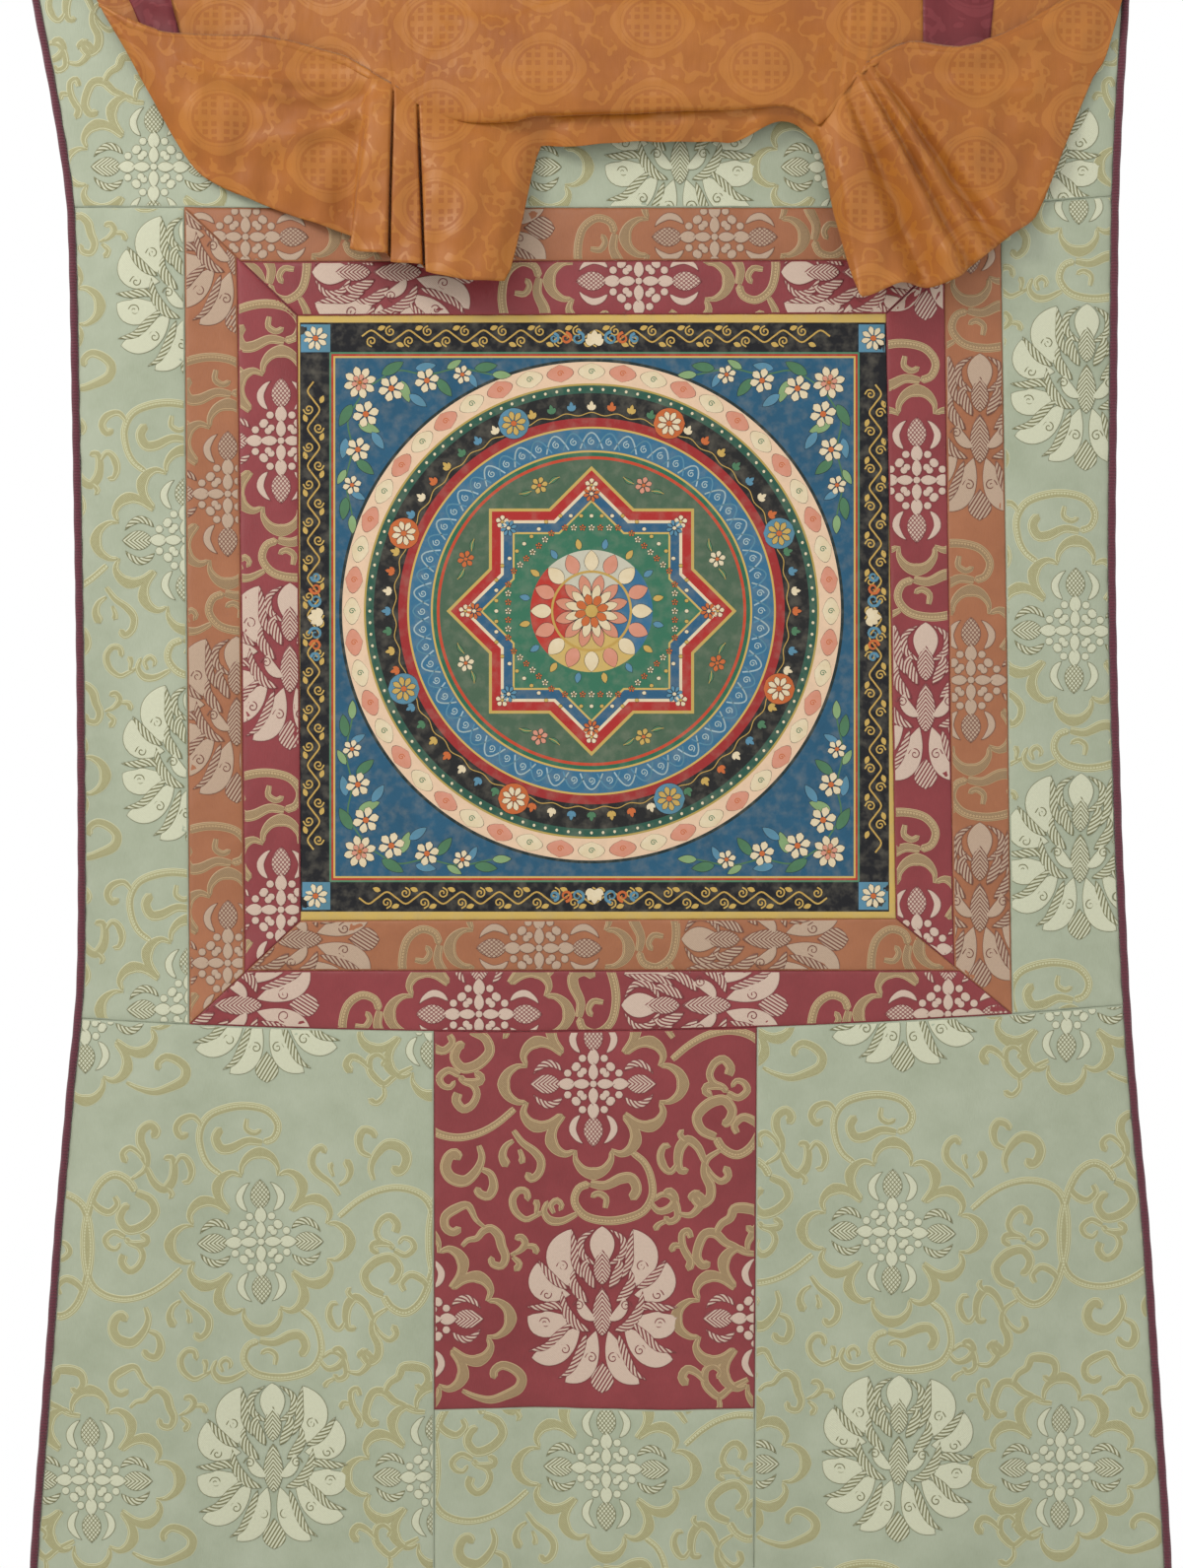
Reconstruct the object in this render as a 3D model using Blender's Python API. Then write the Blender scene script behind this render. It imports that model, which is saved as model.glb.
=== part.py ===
"""A thangka scroll painting: a square painted cloth in a brocade mount, with its silk veil gathered up.

Metres, +Z up. The cloth hangs in the XZ plane and faces -Y. The origin is the middle of its top edge.
Every sewn piece is a closed sheet of its own, and all of them lie on one softly folded surface.
"""

import math
from collections import namedtuple

import bmesh
import bpy

# Driving dimensions
LENGTH = 0.954  # top edge to bottom edge
CLOTH = 0.0015  # a brocade panel with its seam allowances
SILK = 0.0015  # the veil and its ribbons
SEAM = 0.0004  # between two sewn panels
GRID = 0.026  # length of a panel's facets
CORD = 0.0042  # diameter of the binding along the two sides
CORD_POINTS = 44
TOP_SEAM = -0.1706  # under the top band
LOW_SEAM = -0.6162  # over the bottom row, at its lowest
DOOR_SEAM = -0.8208  # under the red door panel
FIRST_RISE = 0.0022  # the veil's front over the cloth, at its sewn top edge
VEIL_CLEAR = 0.0038  # and the least that it has further down

Edge = namedtuple("Edge", "z left right")
EDGES = [
    Edge(0.000, -0.3120, 0.2860),
    Edge(-0.059, -0.3025, 0.2835),
    Edge(-0.117, -0.2915, 0.2800),
    Edge(-0.171, -0.2836, 0.2777),
    Edge(-0.272, -0.2810, 0.2766),
    Edge(-0.378, -0.2793, 0.2760),
    Edge(-0.512, -0.2782, 0.2798),
    Edge(-0.592, -0.2788, 0.2836),
    Edge(-0.645, -0.2836, 0.2873),
    Edge(-0.725, -0.2905, 0.2947),
    Edge(-0.805, -0.2964, 0.3000),
    Edge(-0.907, -0.3038, 0.3065),
    Edge(-LENGTH, -0.3070, 0.3090),
]


def top_seam(x):
    """Level, and rising a little towards the right side."""
    return TOP_SEAM + 0.0066 * max(0.0, (x - 0.141) / 0.141) ** 2


def low_seam(x):
    """Sags in the middle, and rises more to the right than to the left."""
    u = x / 0.2836
    return LOW_SEAM + 0.0035 * u + 0.0104 * u * u


# The nested squares that the strips and the painting are sewn to: the two sides' places at the
# square's upper and lower corner, then the heights of those corners.
Square = namedtuple("Square", "left_up left_low right_up right_low up_left up_right low_left low_right")
PAINTING = Square(-0.1626, -0.1610, 0.1556, 0.1610, -0.2292, -0.2281, -0.5565, -0.5554)
BETWEEN = Square(-0.1956, -0.1913, 0.1870, 0.1925, -0.1999, -0.1988, -0.5836, -0.5836)
OUTSIDE = Square(
    -0.2239, -0.2212, 0.2175, 0.2239, top_seam(-0.2239), top_seam(0.2175), low_seam(-0.2212), low_seam(0.2239)
)

# Soft folds of the hung cloth: a middle, half its run, half its width, its turn from upright in
# degrees, and how far it stands forward.
Fold = namedtuple("Fold", "x z run width turn rise")
FOLDS = [
    Fold(-0.250, -0.280, 0.120, 0.030, 4, 0.0030),
    Fold(-0.262, -0.480, 0.140, 0.024, -3, -0.0022),
    Fold(0.250, -0.330, 0.150, 0.028, -3, 0.0030),
    Fold(0.262, -0.520, 0.100, 0.022, 5, -0.0020),
    Fold(-0.195, -0.200, 0.045, 0.008, 45, 0.0016),
    Fold(0.189, -0.199, 0.045, 0.008, -45, 0.0014),
    Fold(-0.191, -0.584, 0.050, 0.009, -45, 0.0018),
    Fold(0.193, -0.582, 0.055, 0.009, 45, 0.0016),
    Fold(-0.245, -0.800, 0.170, 0.026, 3, 0.0052),
    Fold(-0.178, -0.850, 0.160, 0.024, -2, -0.0046),
    Fold(-0.104, -0.870, 0.130, 0.022, 2, 0.0048),
    Fold(-0.036, -0.880, 0.110, 0.022, -3, -0.0042),
    Fold(0.040, -0.885, 0.110, 0.024, 2, 0.0036),
    Fold(0.118, -0.860, 0.140, 0.022, 3, -0.0048),
    Fold(0.186, -0.830, 0.160, 0.028, -3, 0.0050),
    Fold(0.262, -0.850, 0.140, 0.022, -4, -0.0040),
    Fold(-0.060, -0.700, 0.090, 0.040, 0, 0.0020),
    Fold(0.000, -0.390, 0.160, 0.140, 0, 0.0016),
]

# The gathered veil, a row for each line that runs down it: where the line leaves the top edge, where
# it passes the fold that the lower part hangs from, where it ends at the lower edge, and how far the
# silk stands forward above that fold, below it, half way down and at the end.
Line = namedtuple("Line", "top_x fold_x fold_z end_x end_z above below middle end")
VEIL = [
    Line(-0.3043, -0.2686, -0.0629, -0.2660, -0.0682, 0.006, 0.008, 0.007, 0.006),
    Line(-0.2904, -0.2585, -0.0688, -0.2553, -0.0863, 0.006, 0.011, 0.009, 0.005),
    Line(-0.2755, -0.2489, -0.0736, -0.2436, -0.1077, 0.006, 0.013, 0.010, 0.005),
    Line(-0.2436, -0.2286, -0.0800, -0.2153, -0.1530, 0.006, 0.014, 0.011, 0.005),
    Line(-0.1956, -0.1839, -0.0810, -0.1791, -0.1706, 0.007, 0.014, 0.010, 0.005),
    Line(-0.1476, -0.1359, -0.0922, -0.1343, -0.1866, 0.010, 0.013, 0.008, 0.005),
    Line(-0.1360, -0.1255, -0.0981, -0.1330, -0.1872, 0.012, 0.013, 0.008, 0.006),
    Line(-0.1330, -0.1189, -0.1023, -0.1327, -0.1967, 0.013, 0.014, 0.019, 0.021),
    Line(-0.1250, -0.1110, -0.1065, -0.1130, -0.1996, 0.014, 0.014, 0.022, 0.023),
    Line(-0.1235, -0.1098, -0.1073, -0.1115, -0.2004, 0.014, 0.013, 0.013, 0.013),
    Line(-0.1215, -0.1088, -0.1079, -0.1107, -0.2041, 0.014, 0.014, 0.020, 0.022),
    Line(-0.1110, -0.0983, -0.1134, -0.0940, -0.2057, 0.015, 0.014, 0.020, 0.021),
    Line(-0.1095, -0.0970, -0.1139, -0.0928, -0.2060, 0.015, 0.013, 0.011, 0.011),
    Line(-0.1075, -0.0957, -0.1145, -0.0917, -0.2100, 0.015, 0.014, 0.021, 0.025),
    Line(-0.0960, -0.0837, -0.1204, -0.0677, -0.2148, 0.016, 0.014, 0.025, 0.027),
    Line(-0.0820, -0.0698, -0.1240, -0.0501, -0.2143, 0.017, 0.013, 0.022, 0.022),
    Line(-0.0700, -0.0554, -0.1242, -0.0421, -0.1866, 0.018, 0.012, 0.014, 0.013),
    Line(-0.0500, -0.0357, -0.1226, -0.0309, -0.1386, 0.019, 0.010, 0.009, 0.007),
    Line(-0.0230, -0.0171, -0.1220, -0.0160, -0.1404, 0.019, 0.011, 0.011, 0.009),
    Line(0.0180, 0.0176, -0.1210, 0.0176, -0.1375, 0.019, 0.012, 0.012, 0.010),
    Line(0.0700, 0.0698, -0.1190, 0.0698, -0.1375, 0.018, 0.012, 0.012, 0.010),
    Line(0.1020, 0.0991, -0.1190, 0.0991, -0.1263, 0.017, 0.012, 0.011, 0.009),
    Line(0.1180, 0.1146, -0.1244, 0.1178, -0.1386, 0.016, 0.011, 0.010, 0.007),
    Line(0.1240, 0.1183, -0.1247, 0.1263, -0.1770, 0.016, 0.012, 0.015, 0.014),
    Line(0.1300, 0.1215, -0.1221, 0.1359, -0.2132, 0.016, 0.013, 0.022, 0.022),
    Line(0.1345, 0.1253, -0.1183, 0.1402, -0.2234, 0.016, 0.014, 0.025, 0.026),
    Line(0.1400, 0.1295, -0.1109, 0.1615, -0.2153, 0.015, 0.014, 0.021, 0.020),
    Line(0.1440, 0.1327, -0.1066, 0.1775, -0.2164, 0.015, 0.013, 0.011, 0.012),
    Line(0.1490, 0.1380, -0.1002, 0.1924, -0.2121, 0.014, 0.014, 0.022, 0.022),
    Line(0.1520, 0.1407, -0.0981, 0.1988, -0.2057, 0.014, 0.013, 0.012, 0.011),
    Line(0.1560, 0.1434, -0.0959, 0.2063, -0.2004, 0.014, 0.014, 0.020, 0.018),
    Line(0.1600, 0.1460, -0.0938, 0.2148, -0.1930, 0.013, 0.013, 0.010, 0.008),
    Line(0.1650, 0.1498, -0.0917, 0.2217, -0.1882, 0.013, 0.014, 0.017, 0.014),
    Line(0.1800, 0.1668, -0.0842, 0.2356, -0.1770, 0.010, 0.013, 0.010, 0.006),
    Line(0.2060, 0.1945, -0.0874, 0.2500, -0.1423, 0.007, 0.013, 0.010, 0.006),
    Line(0.2300, 0.2255, -0.0752, 0.2670, -0.1013, 0.006, 0.012, 0.009, 0.005),
    Line(0.2560, 0.2446, -0.0640, 0.2734, -0.0911, 0.006, 0.010, 0.008, 0.005),
    Line(0.2730, 0.2628, -0.0554, 0.2787, -0.0730, 0.006, 0.009, 0.007, 0.005),
    Line(0.2830, 0.2800, -0.0500, 0.2830, -0.0560, 0.006, 0.007, 0.006, 0.005),
]
VEIL_FACET = 0.014  # the widest that a facet of the veil is
UPPER_ROWS, LOWER_ROWS = 5, 9  # facets down the veil above and below that fold
FOLD_STEP = 0.0016  # the height over which the silk steps forward at the fold

# Creases of the silk that hang between two points: its ends, how far it sags, half its width, its rise.
Crease = namedtuple("Crease", "x0 z0 x1 z1 sag width rise")
CREASES = [
    Crease(-0.235, -0.094, -0.113, -0.101, 0.008, 0.005, 0.0040),
    Crease(-0.190, -0.138, -0.105, -0.110, 0.006, 0.006, 0.0045),
    Crease(-0.150, -0.060, -0.030, -0.092, -0.010, 0.008, 0.0030),
    Crease(-0.020, -0.070, 0.150, -0.080, 0.014, 0.009, 0.0030),
    Crease(0.160, -0.092, 0.262, -0.066, 0.010, 0.006, 0.0030),
]

# The two red ribbons over the veil: the places of their sides at the top edge and at the fold.
Ribbon = namedtuple("Ribbon", "name top_left top_right low_left low_right")
RIBBONS = [
    Ribbon("ribbon_left", -0.2500, -0.1935, -0.2260, -0.1835),
    Ribbon("ribbon_right", 0.1740, 0.2190, 0.1745, 0.2110),
]
RIBBON_OVER = 0.0006  # between a ribbon's back and the veil's front
RIBBON_SHORT = 0.0012  # and between its end and the fold that covers it


def between(low, high, share):
    return low + (high - low) * share


def soft_row(rows, z, name):
    """Reads one column of a table of rows that go down, as a smooth curve through them."""
    last = len(rows) - 1
    k = 0
    while k < last - 1 and z < rows[k + 1].z:
        k += 1
    share = min(1.0, max(0.0, (z - rows[k].z) / (rows[k + 1].z - rows[k].z)))
    before, start = getattr(rows[max(k - 1, 0)], name), getattr(rows[k], name)
    end, after = getattr(rows[k + 1], name), getattr(rows[min(k + 2, last)], name)
    leave, arrive = (end - before) / 2, (after - start) / 2
    bend = start + share * leave + share**2 * (3 * (end - start) - 2 * leave - arrive)
    return bend + share**3 * (2 * (start - end) + leave + arrive)


def left_edge(z):
    return soft_row(EDGES, z, "left")


def right_edge(z):
    return soft_row(EDGES, z, "right")


def relief(x, z):
    """How far the hung cloth's front stands forward here."""
    rise = 0.0
    for fold in FOLDS:
        turn = math.radians(fold.turn)
        across = (x - fold.x) * math.cos(turn) + (z - fold.z) * math.sin(turn)
        along = (z - fold.z) * math.cos(turn) - (x - fold.x) * math.sin(turn)
        rise += fold.rise * math.exp(-((across / fold.width) ** 2) - (along / fold.run) ** 4)
    return rise


def through(x0, z0, x1, z1):
    """The straight line through two points, read either way: its place at a height, or its height at a place."""

    def place(z):
        return x0 + (x1 - x0) * (z - z0) / (z1 - z0)

    def height(x):
        return z0 + (z1 - z0) * (x - x0) / (x1 - x0)

    return place, height


def level(square, edge):
    """A square's upper or lower side as a height at a place."""
    left, right = getattr(square, "left_" + edge), getattr(square, "right_" + edge)
    up_or_low = "up" if edge == "up" else "low"
    z0, z1 = getattr(square, up_or_low + "_left"), getattr(square, up_or_low + "_right")
    return through(left, z0, right, z1)[1]


def upright(square, side):
    """A square's left or right side as a place at a height."""
    x0, x1 = getattr(square, side + "_up"), getattr(square, side + "_low")
    z0, z1 = getattr(square, "up_" + side), getattr(square, "low_" + side)
    return through(x0, z0, x1, z1)[0]


def mitre(side, edge):
    """The seam from a corner of the painting out to the same corner of the mount's frame."""
    x0, x1 = getattr(PAINTING, side + "_" + edge), getattr(OUTSIDE, side + "_" + edge)
    z0, z1 = getattr(PAINTING, edge + "_" + side), getattr(OUTSIDE, edge + "_" + side)
    return through(x0, z0, x1, z1)


def material(name, colour, roughness, metallic=0.0):
    made = bpy.data.materials.new(name)
    made.use_nodes = True
    surface = made.node_tree.nodes["Principled BSDF"]
    surface.inputs["Base Color"].default_value = (*colour, 1.0)
    surface.inputs["Roughness"].default_value = roughness
    surface.inputs["Metallic"].default_value = metallic
    return made


def add_sheet(name, columns, rows, place, thickness, finish):
    """A closed sheet: a grid whose every point is placed by its column and row, then extruded back."""
    made = bmesh.new()
    bmesh.ops.create_grid(made, x_segments=columns, y_segments=rows, size=0.5)
    for point in made.verts:
        column = round((point.co.x + 0.5) * columns)
        row = round((0.5 - point.co.y) * rows)
        point.co = place(column, row)
    grown = bmesh.ops.extrude_face_region(made, geom=made.faces[:])
    backs = [item for item in grown["geom"] if isinstance(item, bmesh.types.BMVert)]
    bmesh.ops.translate(made, vec=(0, thickness, 0), verts=backs)
    bmesh.ops.triangulate(made, faces=made.faces[:])
    bmesh.ops.recalc_face_normals(made, faces=made.faces[:])
    mesh = bpy.data.meshes.new(name)
    made.to_mesh(mesh)
    made.free()
    sheet = bpy.data.objects.new(name, mesh)
    sheet.data.materials.append(finish)
    bpy.context.collection.objects.link(sheet)
    return sheet


def add_panel(name, left, right, up, low, finish):
    """A panel between four lines: its sides give a place at a height, its ends a height at a place."""
    gap = SEAM / 2
    middle_z = (up((left(0) + right(0)) / 2) + low((left(0) + right(0)) / 2)) / 2
    middle_x = (left(middle_z) + right(middle_z)) / 2
    columns = max(1, round((right(middle_z) - left(middle_z)) / GRID))
    rows = max(1, round((up(middle_x) - low(middle_x)) / GRID))

    def place(column, row):
        x, z = middle_x, middle_z
        for _ in range(12):
            x = between(left(z) + gap, right(z) - gap, column / columns)
            z = between(up(x) - gap, low(x) + gap, row / rows)
        return x, -relief(x, z), z

    return add_sheet(name, columns, rows, place, CLOTH, finish)


def add_strips(orange, red):
    """The two mitred strips on each side of the painting. Below it their colours change places."""
    corner = {(side, edge): mitre(side, edge) for side in ("left", "right") for edge in ("up", "low")}
    for side in ("left", "right"):
        ends = corner[side, "up"][1], corner[side, "low"][1]
        for name, finish, inner, outer in (
            ("red_", red, PAINTING, BETWEEN),
            ("orange_", orange, BETWEEN, OUTSIDE),
        ):
            near, far = upright(inner, side), upright(outer, side)
            sides = (far, near) if side == "left" else (near, far)
            add_panel(name + side, *sides, *ends, finish)
    for edge, inside, outside in (("up", "red_top", "orange_top"), ("low", "orange_bottom", "red_bottom")):
        ends = corner["left", edge][0], corner["right", edge][0]
        painting_side, middle_side = level(PAINTING, edge), level(BETWEEN, edge)
        outer_side = top_seam if edge == "up" else low_seam
        for name, near, far in ((inside, painting_side, middle_side), (outside, middle_side, outer_side)):
            heights = (far, near) if edge == "up" else (near, far)
            add_panel(name, *ends, *heights, red if name.startswith("red") else orange)


def add_green_and_door(green, red):
    frame_left, frame_right = upright(OUTSIDE, "left"), upright(OUTSIDE, "right")
    door_left = through(-0.0890, LOW_SEAM, -0.0885, -LENGTH)[0]
    door_right = through(0.0858, LOW_SEAM, 0.0840, -LENGTH)[0]

    def top_edge(x):
        return 0.0

    def bottom_edge(x):
        return -LENGTH

    def door_seam(x):
        return DOOR_SEAM

    add_panel("top_band", left_edge, right_edge, top_edge, top_seam, green)
    add_panel("side_left", left_edge, frame_left, top_seam, low_seam, green)
    add_panel("side_right", frame_right, right_edge, top_seam, low_seam, green)
    add_panel("bottom_left", left_edge, door_left, low_seam, bottom_edge, green)
    add_panel("door", door_left, door_right, low_seam, door_seam, red)
    add_panel("bottom_centre", door_left, door_right, door_seam, bottom_edge, green)
    add_panel("bottom_right", door_right, right_edge, low_seam, bottom_edge, green)


def add_painting(canvas):
    sides = upright(PAINTING, "left"), upright(PAINTING, "right")
    add_panel("painting", *sides, level(PAINTING, "up"), level(PAINTING, "low"), canvas)


def add_binding(name, edge, outwards, finish):
    """The corded binding along one side: a tube that follows the edge and the folds."""
    curve = bpy.data.curves.new(name, "CURVE")
    curve.dimensions = "3D"
    curve.bevel_depth = CORD / 2
    curve.bevel_resolution = 1
    curve.use_fill_caps = True
    line = curve.splines.new("POLY")
    line.points.add(CORD_POINTS - 1)
    for k, point in enumerate(line.points):
        z = -LENGTH * k / (CORD_POINTS - 1)
        x = edge(z) + outwards * (CORD / 2 + SEAM)
        point.co = (x, CLOTH / 2 - relief(edge(z), z), z, 1.0)
    binding = bpy.data.objects.new(name, curve)
    binding.data.materials.append(finish)
    bpy.context.collection.objects.link(binding)


def crease_rise(x, z):
    rise = 0.0
    for crease in CREASES:
        share = (x - crease.x0) / (crease.x1 - crease.x0)
        if 0.0 < share < 1.0:
            hang = between(crease.z0, crease.z1, share) - crease.sag * math.sin(math.pi * share)
            rise += crease.rise * math.sin(math.pi * share) * math.exp(-(((z - hang) / crease.width) ** 2))
    return rise


def veil_lines():
    """The table's lines, with more between them where two stand far apart."""
    lines = [VEIL[0]]
    for start, end in zip(VEIL, VEIL[1:]):
        apart = max(end.end_x - start.end_x, end.fold_x - start.fold_x)
        parts = max(1, math.ceil(apart / VEIL_FACET))
        for k in range(1, parts + 1):
            lines.append(Line(*(between(a, b, k / parts) for a, b in zip(start, end))))
    return lines


def veil_point(line, row):
    """A point on the veil's front: rows run down to the fold, step forward there, and run on to the end."""
    if row <= UPPER_ROWS:
        share = row / UPPER_ROWS
        x = between(line.top_x, line.fold_x, share)
        z = between(0.0, line.fold_z, share)
        rise = between(FIRST_RISE, line.above, math.sin(share * math.pi / 2))
    else:
        share = (row - UPPER_ROWS - 1) / LOWER_ROWS
        x = between(line.fold_x, line.end_x, share)
        z = between(line.fold_z - FOLD_STEP, line.end_z, share)
        bow = 2 * share
        rise = between(line.below, line.middle, bow) if bow < 1 else between(line.middle, line.end, bow - 1)
    rise = max(rise + crease_rise(x, z) * min(1.0, row / UPPER_ROWS), FIRST_RISE if row == 0 else VEIL_CLEAR)
    return x, -(relief(x, z) + rise), z


def add_veil(silk):
    lines = veil_lines()

    def place(column, row):
        return veil_point(lines[column], row)

    add_sheet("veil", len(lines) - 1, UPPER_ROWS + 1 + LOWER_ROWS, place, SILK, silk)


def veil_front(x, share):
    """The veil's front above the fold, at a share of the way from the top edge down to it."""
    lines = veil_lines()
    k = 0
    while k < len(lines) - 2 and between(lines[k + 1].top_x, lines[k + 1].fold_x, share) < x:
        k += 1
    x0 = between(lines[k].top_x, lines[k].fold_x, share)
    x1 = between(lines[k + 1].top_x, lines[k + 1].fold_x, share)
    line = Line(*(between(a, b, (x - x0) / (x1 - x0)) for a, b in zip(lines[k], lines[k + 1])))
    return veil_point(line, share * UPPER_ROWS)


def add_ribbon(ribbon, finish):
    columns, rows = 4, 5

    def place(column, row):
        share = row / rows
        left = between(ribbon.top_left, ribbon.low_left, share)
        right = between(ribbon.top_right, ribbon.low_right, share)
        x, y, z = veil_front(between(left, right, column / columns), share)
        return x, y - SILK - RIBBON_OVER, z + RIBBON_SHORT * share

    add_sheet(ribbon.name, columns, rows, place, SILK, finish)


def build():
    for old in list(bpy.data.objects):
        bpy.data.objects.remove(old)
    green = material("green brocade", (0.52, 0.58, 0.42), 0.45)
    red = material("red brocade", (0.42, 0.02, 0.05), 0.45)
    orange = material("orange brocade", (0.55, 0.16, 0.05), 0.45)
    canvas = material("painted canvas", (0.03, 0.13, 0.21), 0.7)
    wine = material("wine binding", (0.12, 0.01, 0.03), 0.9)
    silk = material("orange silk", (0.70, 0.30, 0.02), 0.3)
    crimson = material("crimson silk", (0.35, 0.01, 0.04), 0.35)
    add_green_and_door(green, red)
    add_strips(orange, red)
    add_painting(canvas)
    add_binding("binding_left", left_edge, -1, wine)
    add_binding("binding_right", right_edge, 1, wine)
    add_veil(silk)
    for ribbon in RIBBONS:
        add_ribbon(ribbon, crimson)


build()
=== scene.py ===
"""The looks of a thangka: a painted square in a brocade mount, with its silk veil gathered up over it.

Metres, +Z up; the cloth hangs in the XZ plane and faces -Y. Every panel is a fine sheet on its solid's
folds. The woven figures and the brushwork are thin strokes that lie on those sheets.
"""

import math
from collections import namedtuple

import bmesh
import bpy
import numpy as np
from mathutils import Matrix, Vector
from mathutils.bvhtree import BVHTree


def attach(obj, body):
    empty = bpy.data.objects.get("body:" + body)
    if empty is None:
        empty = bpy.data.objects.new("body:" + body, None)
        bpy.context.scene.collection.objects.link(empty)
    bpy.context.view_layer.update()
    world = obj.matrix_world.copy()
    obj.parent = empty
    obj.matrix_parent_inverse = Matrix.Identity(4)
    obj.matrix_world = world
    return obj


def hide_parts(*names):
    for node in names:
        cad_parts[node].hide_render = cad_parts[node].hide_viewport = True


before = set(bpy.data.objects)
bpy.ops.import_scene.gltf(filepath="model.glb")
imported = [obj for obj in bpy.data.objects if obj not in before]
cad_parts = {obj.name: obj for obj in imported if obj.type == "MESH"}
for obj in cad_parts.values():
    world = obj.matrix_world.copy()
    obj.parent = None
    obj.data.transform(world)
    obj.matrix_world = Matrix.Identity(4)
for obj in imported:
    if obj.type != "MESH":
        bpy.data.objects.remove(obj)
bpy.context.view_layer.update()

MM = 0.001
LENGTH = 0.954
SEAM = 0.0004
CLOTH = 0.0013
TOP_SEAM = -0.1706
LOW_SEAM = -0.6162
DOOR_SEAM = -0.8208
CORD = 0.0042

Edge = namedtuple("Edge", "z left right")
EDGES = [
    Edge(0.000, -0.3120, 0.2860),
    Edge(-0.059, -0.3025, 0.2835),
    Edge(-0.117, -0.2915, 0.2800),
    Edge(-0.171, -0.2836, 0.2777),
    Edge(-0.272, -0.2810, 0.2766),
    Edge(-0.378, -0.2793, 0.2760),
    Edge(-0.512, -0.2782, 0.2798),
    Edge(-0.592, -0.2788, 0.2836),
    Edge(-0.645, -0.2836, 0.2873),
    Edge(-0.725, -0.2905, 0.2947),
    Edge(-0.805, -0.2964, 0.3000),
    Edge(-0.907, -0.3038, 0.3065),
    Edge(-LENGTH, -0.3070, 0.3090),
]

Fold = namedtuple("Fold", "x z run width turn rise")
FOLDS = [
    Fold(-0.250, -0.280, 0.120, 0.030, 4, 0.0030),
    Fold(-0.262, -0.480, 0.140, 0.024, -3, -0.0022),
    Fold(0.250, -0.330, 0.150, 0.028, -3, 0.0030),
    Fold(0.262, -0.520, 0.100, 0.022, 5, -0.0020),
    Fold(-0.195, -0.200, 0.045, 0.008, 45, 0.0016),
    Fold(0.189, -0.199, 0.045, 0.008, -45, 0.0014),
    Fold(-0.191, -0.584, 0.050, 0.009, -45, 0.0018),
    Fold(0.193, -0.582, 0.055, 0.009, 45, 0.0016),
    Fold(-0.245, -0.800, 0.170, 0.026, 3, 0.0052),
    Fold(-0.178, -0.850, 0.160, 0.024, -2, -0.0046),
    Fold(-0.104, -0.870, 0.130, 0.022, 2, 0.0048),
    Fold(-0.036, -0.880, 0.110, 0.022, -3, -0.0042),
    Fold(0.040, -0.885, 0.110, 0.024, 2, 0.0036),
    Fold(0.118, -0.860, 0.140, 0.022, 3, -0.0048),
    Fold(0.186, -0.830, 0.160, 0.028, -3, 0.0050),
    Fold(0.262, -0.850, 0.140, 0.022, -4, -0.0040),
    Fold(-0.060, -0.700, 0.090, 0.040, 0, 0.0020),
    Fold(0.000, -0.390, 0.160, 0.140, 0, 0.0016),
]


# ---------------------------------------------------------------- lines that the panels are cut to


def soft_row(rows, name, z):
    """One column of a table of rows that go down, as a smooth curve read at many heights."""
    down = np.array([-row.z for row in rows])
    value = np.array([getattr(row, name) for row in rows])
    z = np.asarray(z, dtype=float)
    k = np.clip(np.searchsorted(down, -z, side="right") - 1, 0, len(rows) - 2)
    share = np.clip((-z - down[k]) / (down[k + 1] - down[k]), 0.0, 1.0)
    start, end = value[k], value[k + 1]
    leave = (end - value[np.maximum(k - 1, 0)]) / 2
    arrive = (value[np.minimum(k + 2, len(rows) - 1)] - start) / 2
    bend = start + share * leave + share**2 * (3 * (end - start) - 2 * leave - arrive)
    return bend + share**3 * (2 * (start - end) + leave + arrive)


def left_edge(z):
    return soft_row(EDGES, "left", z)


def right_edge(z):
    return soft_row(EDGES, "right", z)


def top_seam(x):
    return TOP_SEAM + 0.0066 * np.maximum(0.0, (np.asarray(x) - 0.141) / 0.141) ** 2


def low_seam(x):
    u = np.asarray(x) / 0.2836
    return LOW_SEAM + 0.0035 * u + 0.0104 * u * u


Square = namedtuple("Square", "left_up left_low right_up right_low up_left up_right low_left low_right")
PAINTING = Square(-0.1626, -0.1610, 0.1556, 0.1610, -0.2292, -0.2281, -0.5565, -0.5554)
BETWEEN = Square(-0.1956, -0.1913, 0.1870, 0.1925, -0.1999, -0.1988, -0.5836, -0.5836)
OUTSIDE = Square(
    -0.2239, -0.2212, 0.2175, 0.2239, top_seam(-0.2239), top_seam(0.2175), low_seam(-0.2212), low_seam(0.2239)
)


def relief(x, z):
    """How far the hung cloth's front stands forward."""
    rise = np.zeros(np.broadcast(x, z).shape)
    for fold in FOLDS:
        turn = math.radians(fold.turn)
        across = (x - fold.x) * math.cos(turn) + (z - fold.z) * math.sin(turn)
        along = (z - fold.z) * math.cos(turn) - (x - fold.x) * math.sin(turn)
        rise += fold.rise * np.exp(-((across / fold.width) ** 2) - (along / fold.run) ** 4)
    return rise


def through(x0, z0, x1, z1):
    """The straight line through two points: its place at a height, and its height at a place."""
    return (
        lambda z: x0 + (x1 - x0) * (np.asarray(z) - z0) / (z1 - z0),
        lambda x: z0 + (z1 - z0) * (np.asarray(x) - x0) / (x1 - x0),
    )


def corner(square, side, edge):
    return getattr(square, side + "_" + edge), getattr(square, edge + "_" + side)


def upright(square, side):
    return through(*corner(square, side, "up"), *corner(square, side, "low"))[0]


def level(square, edge):
    return through(*corner(square, "left", edge), *corner(square, "right", edge))[1]


def mitre(side, edge):
    return through(*corner(PAINTING, side, edge), *corner(OUTSIDE, side, edge))


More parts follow.
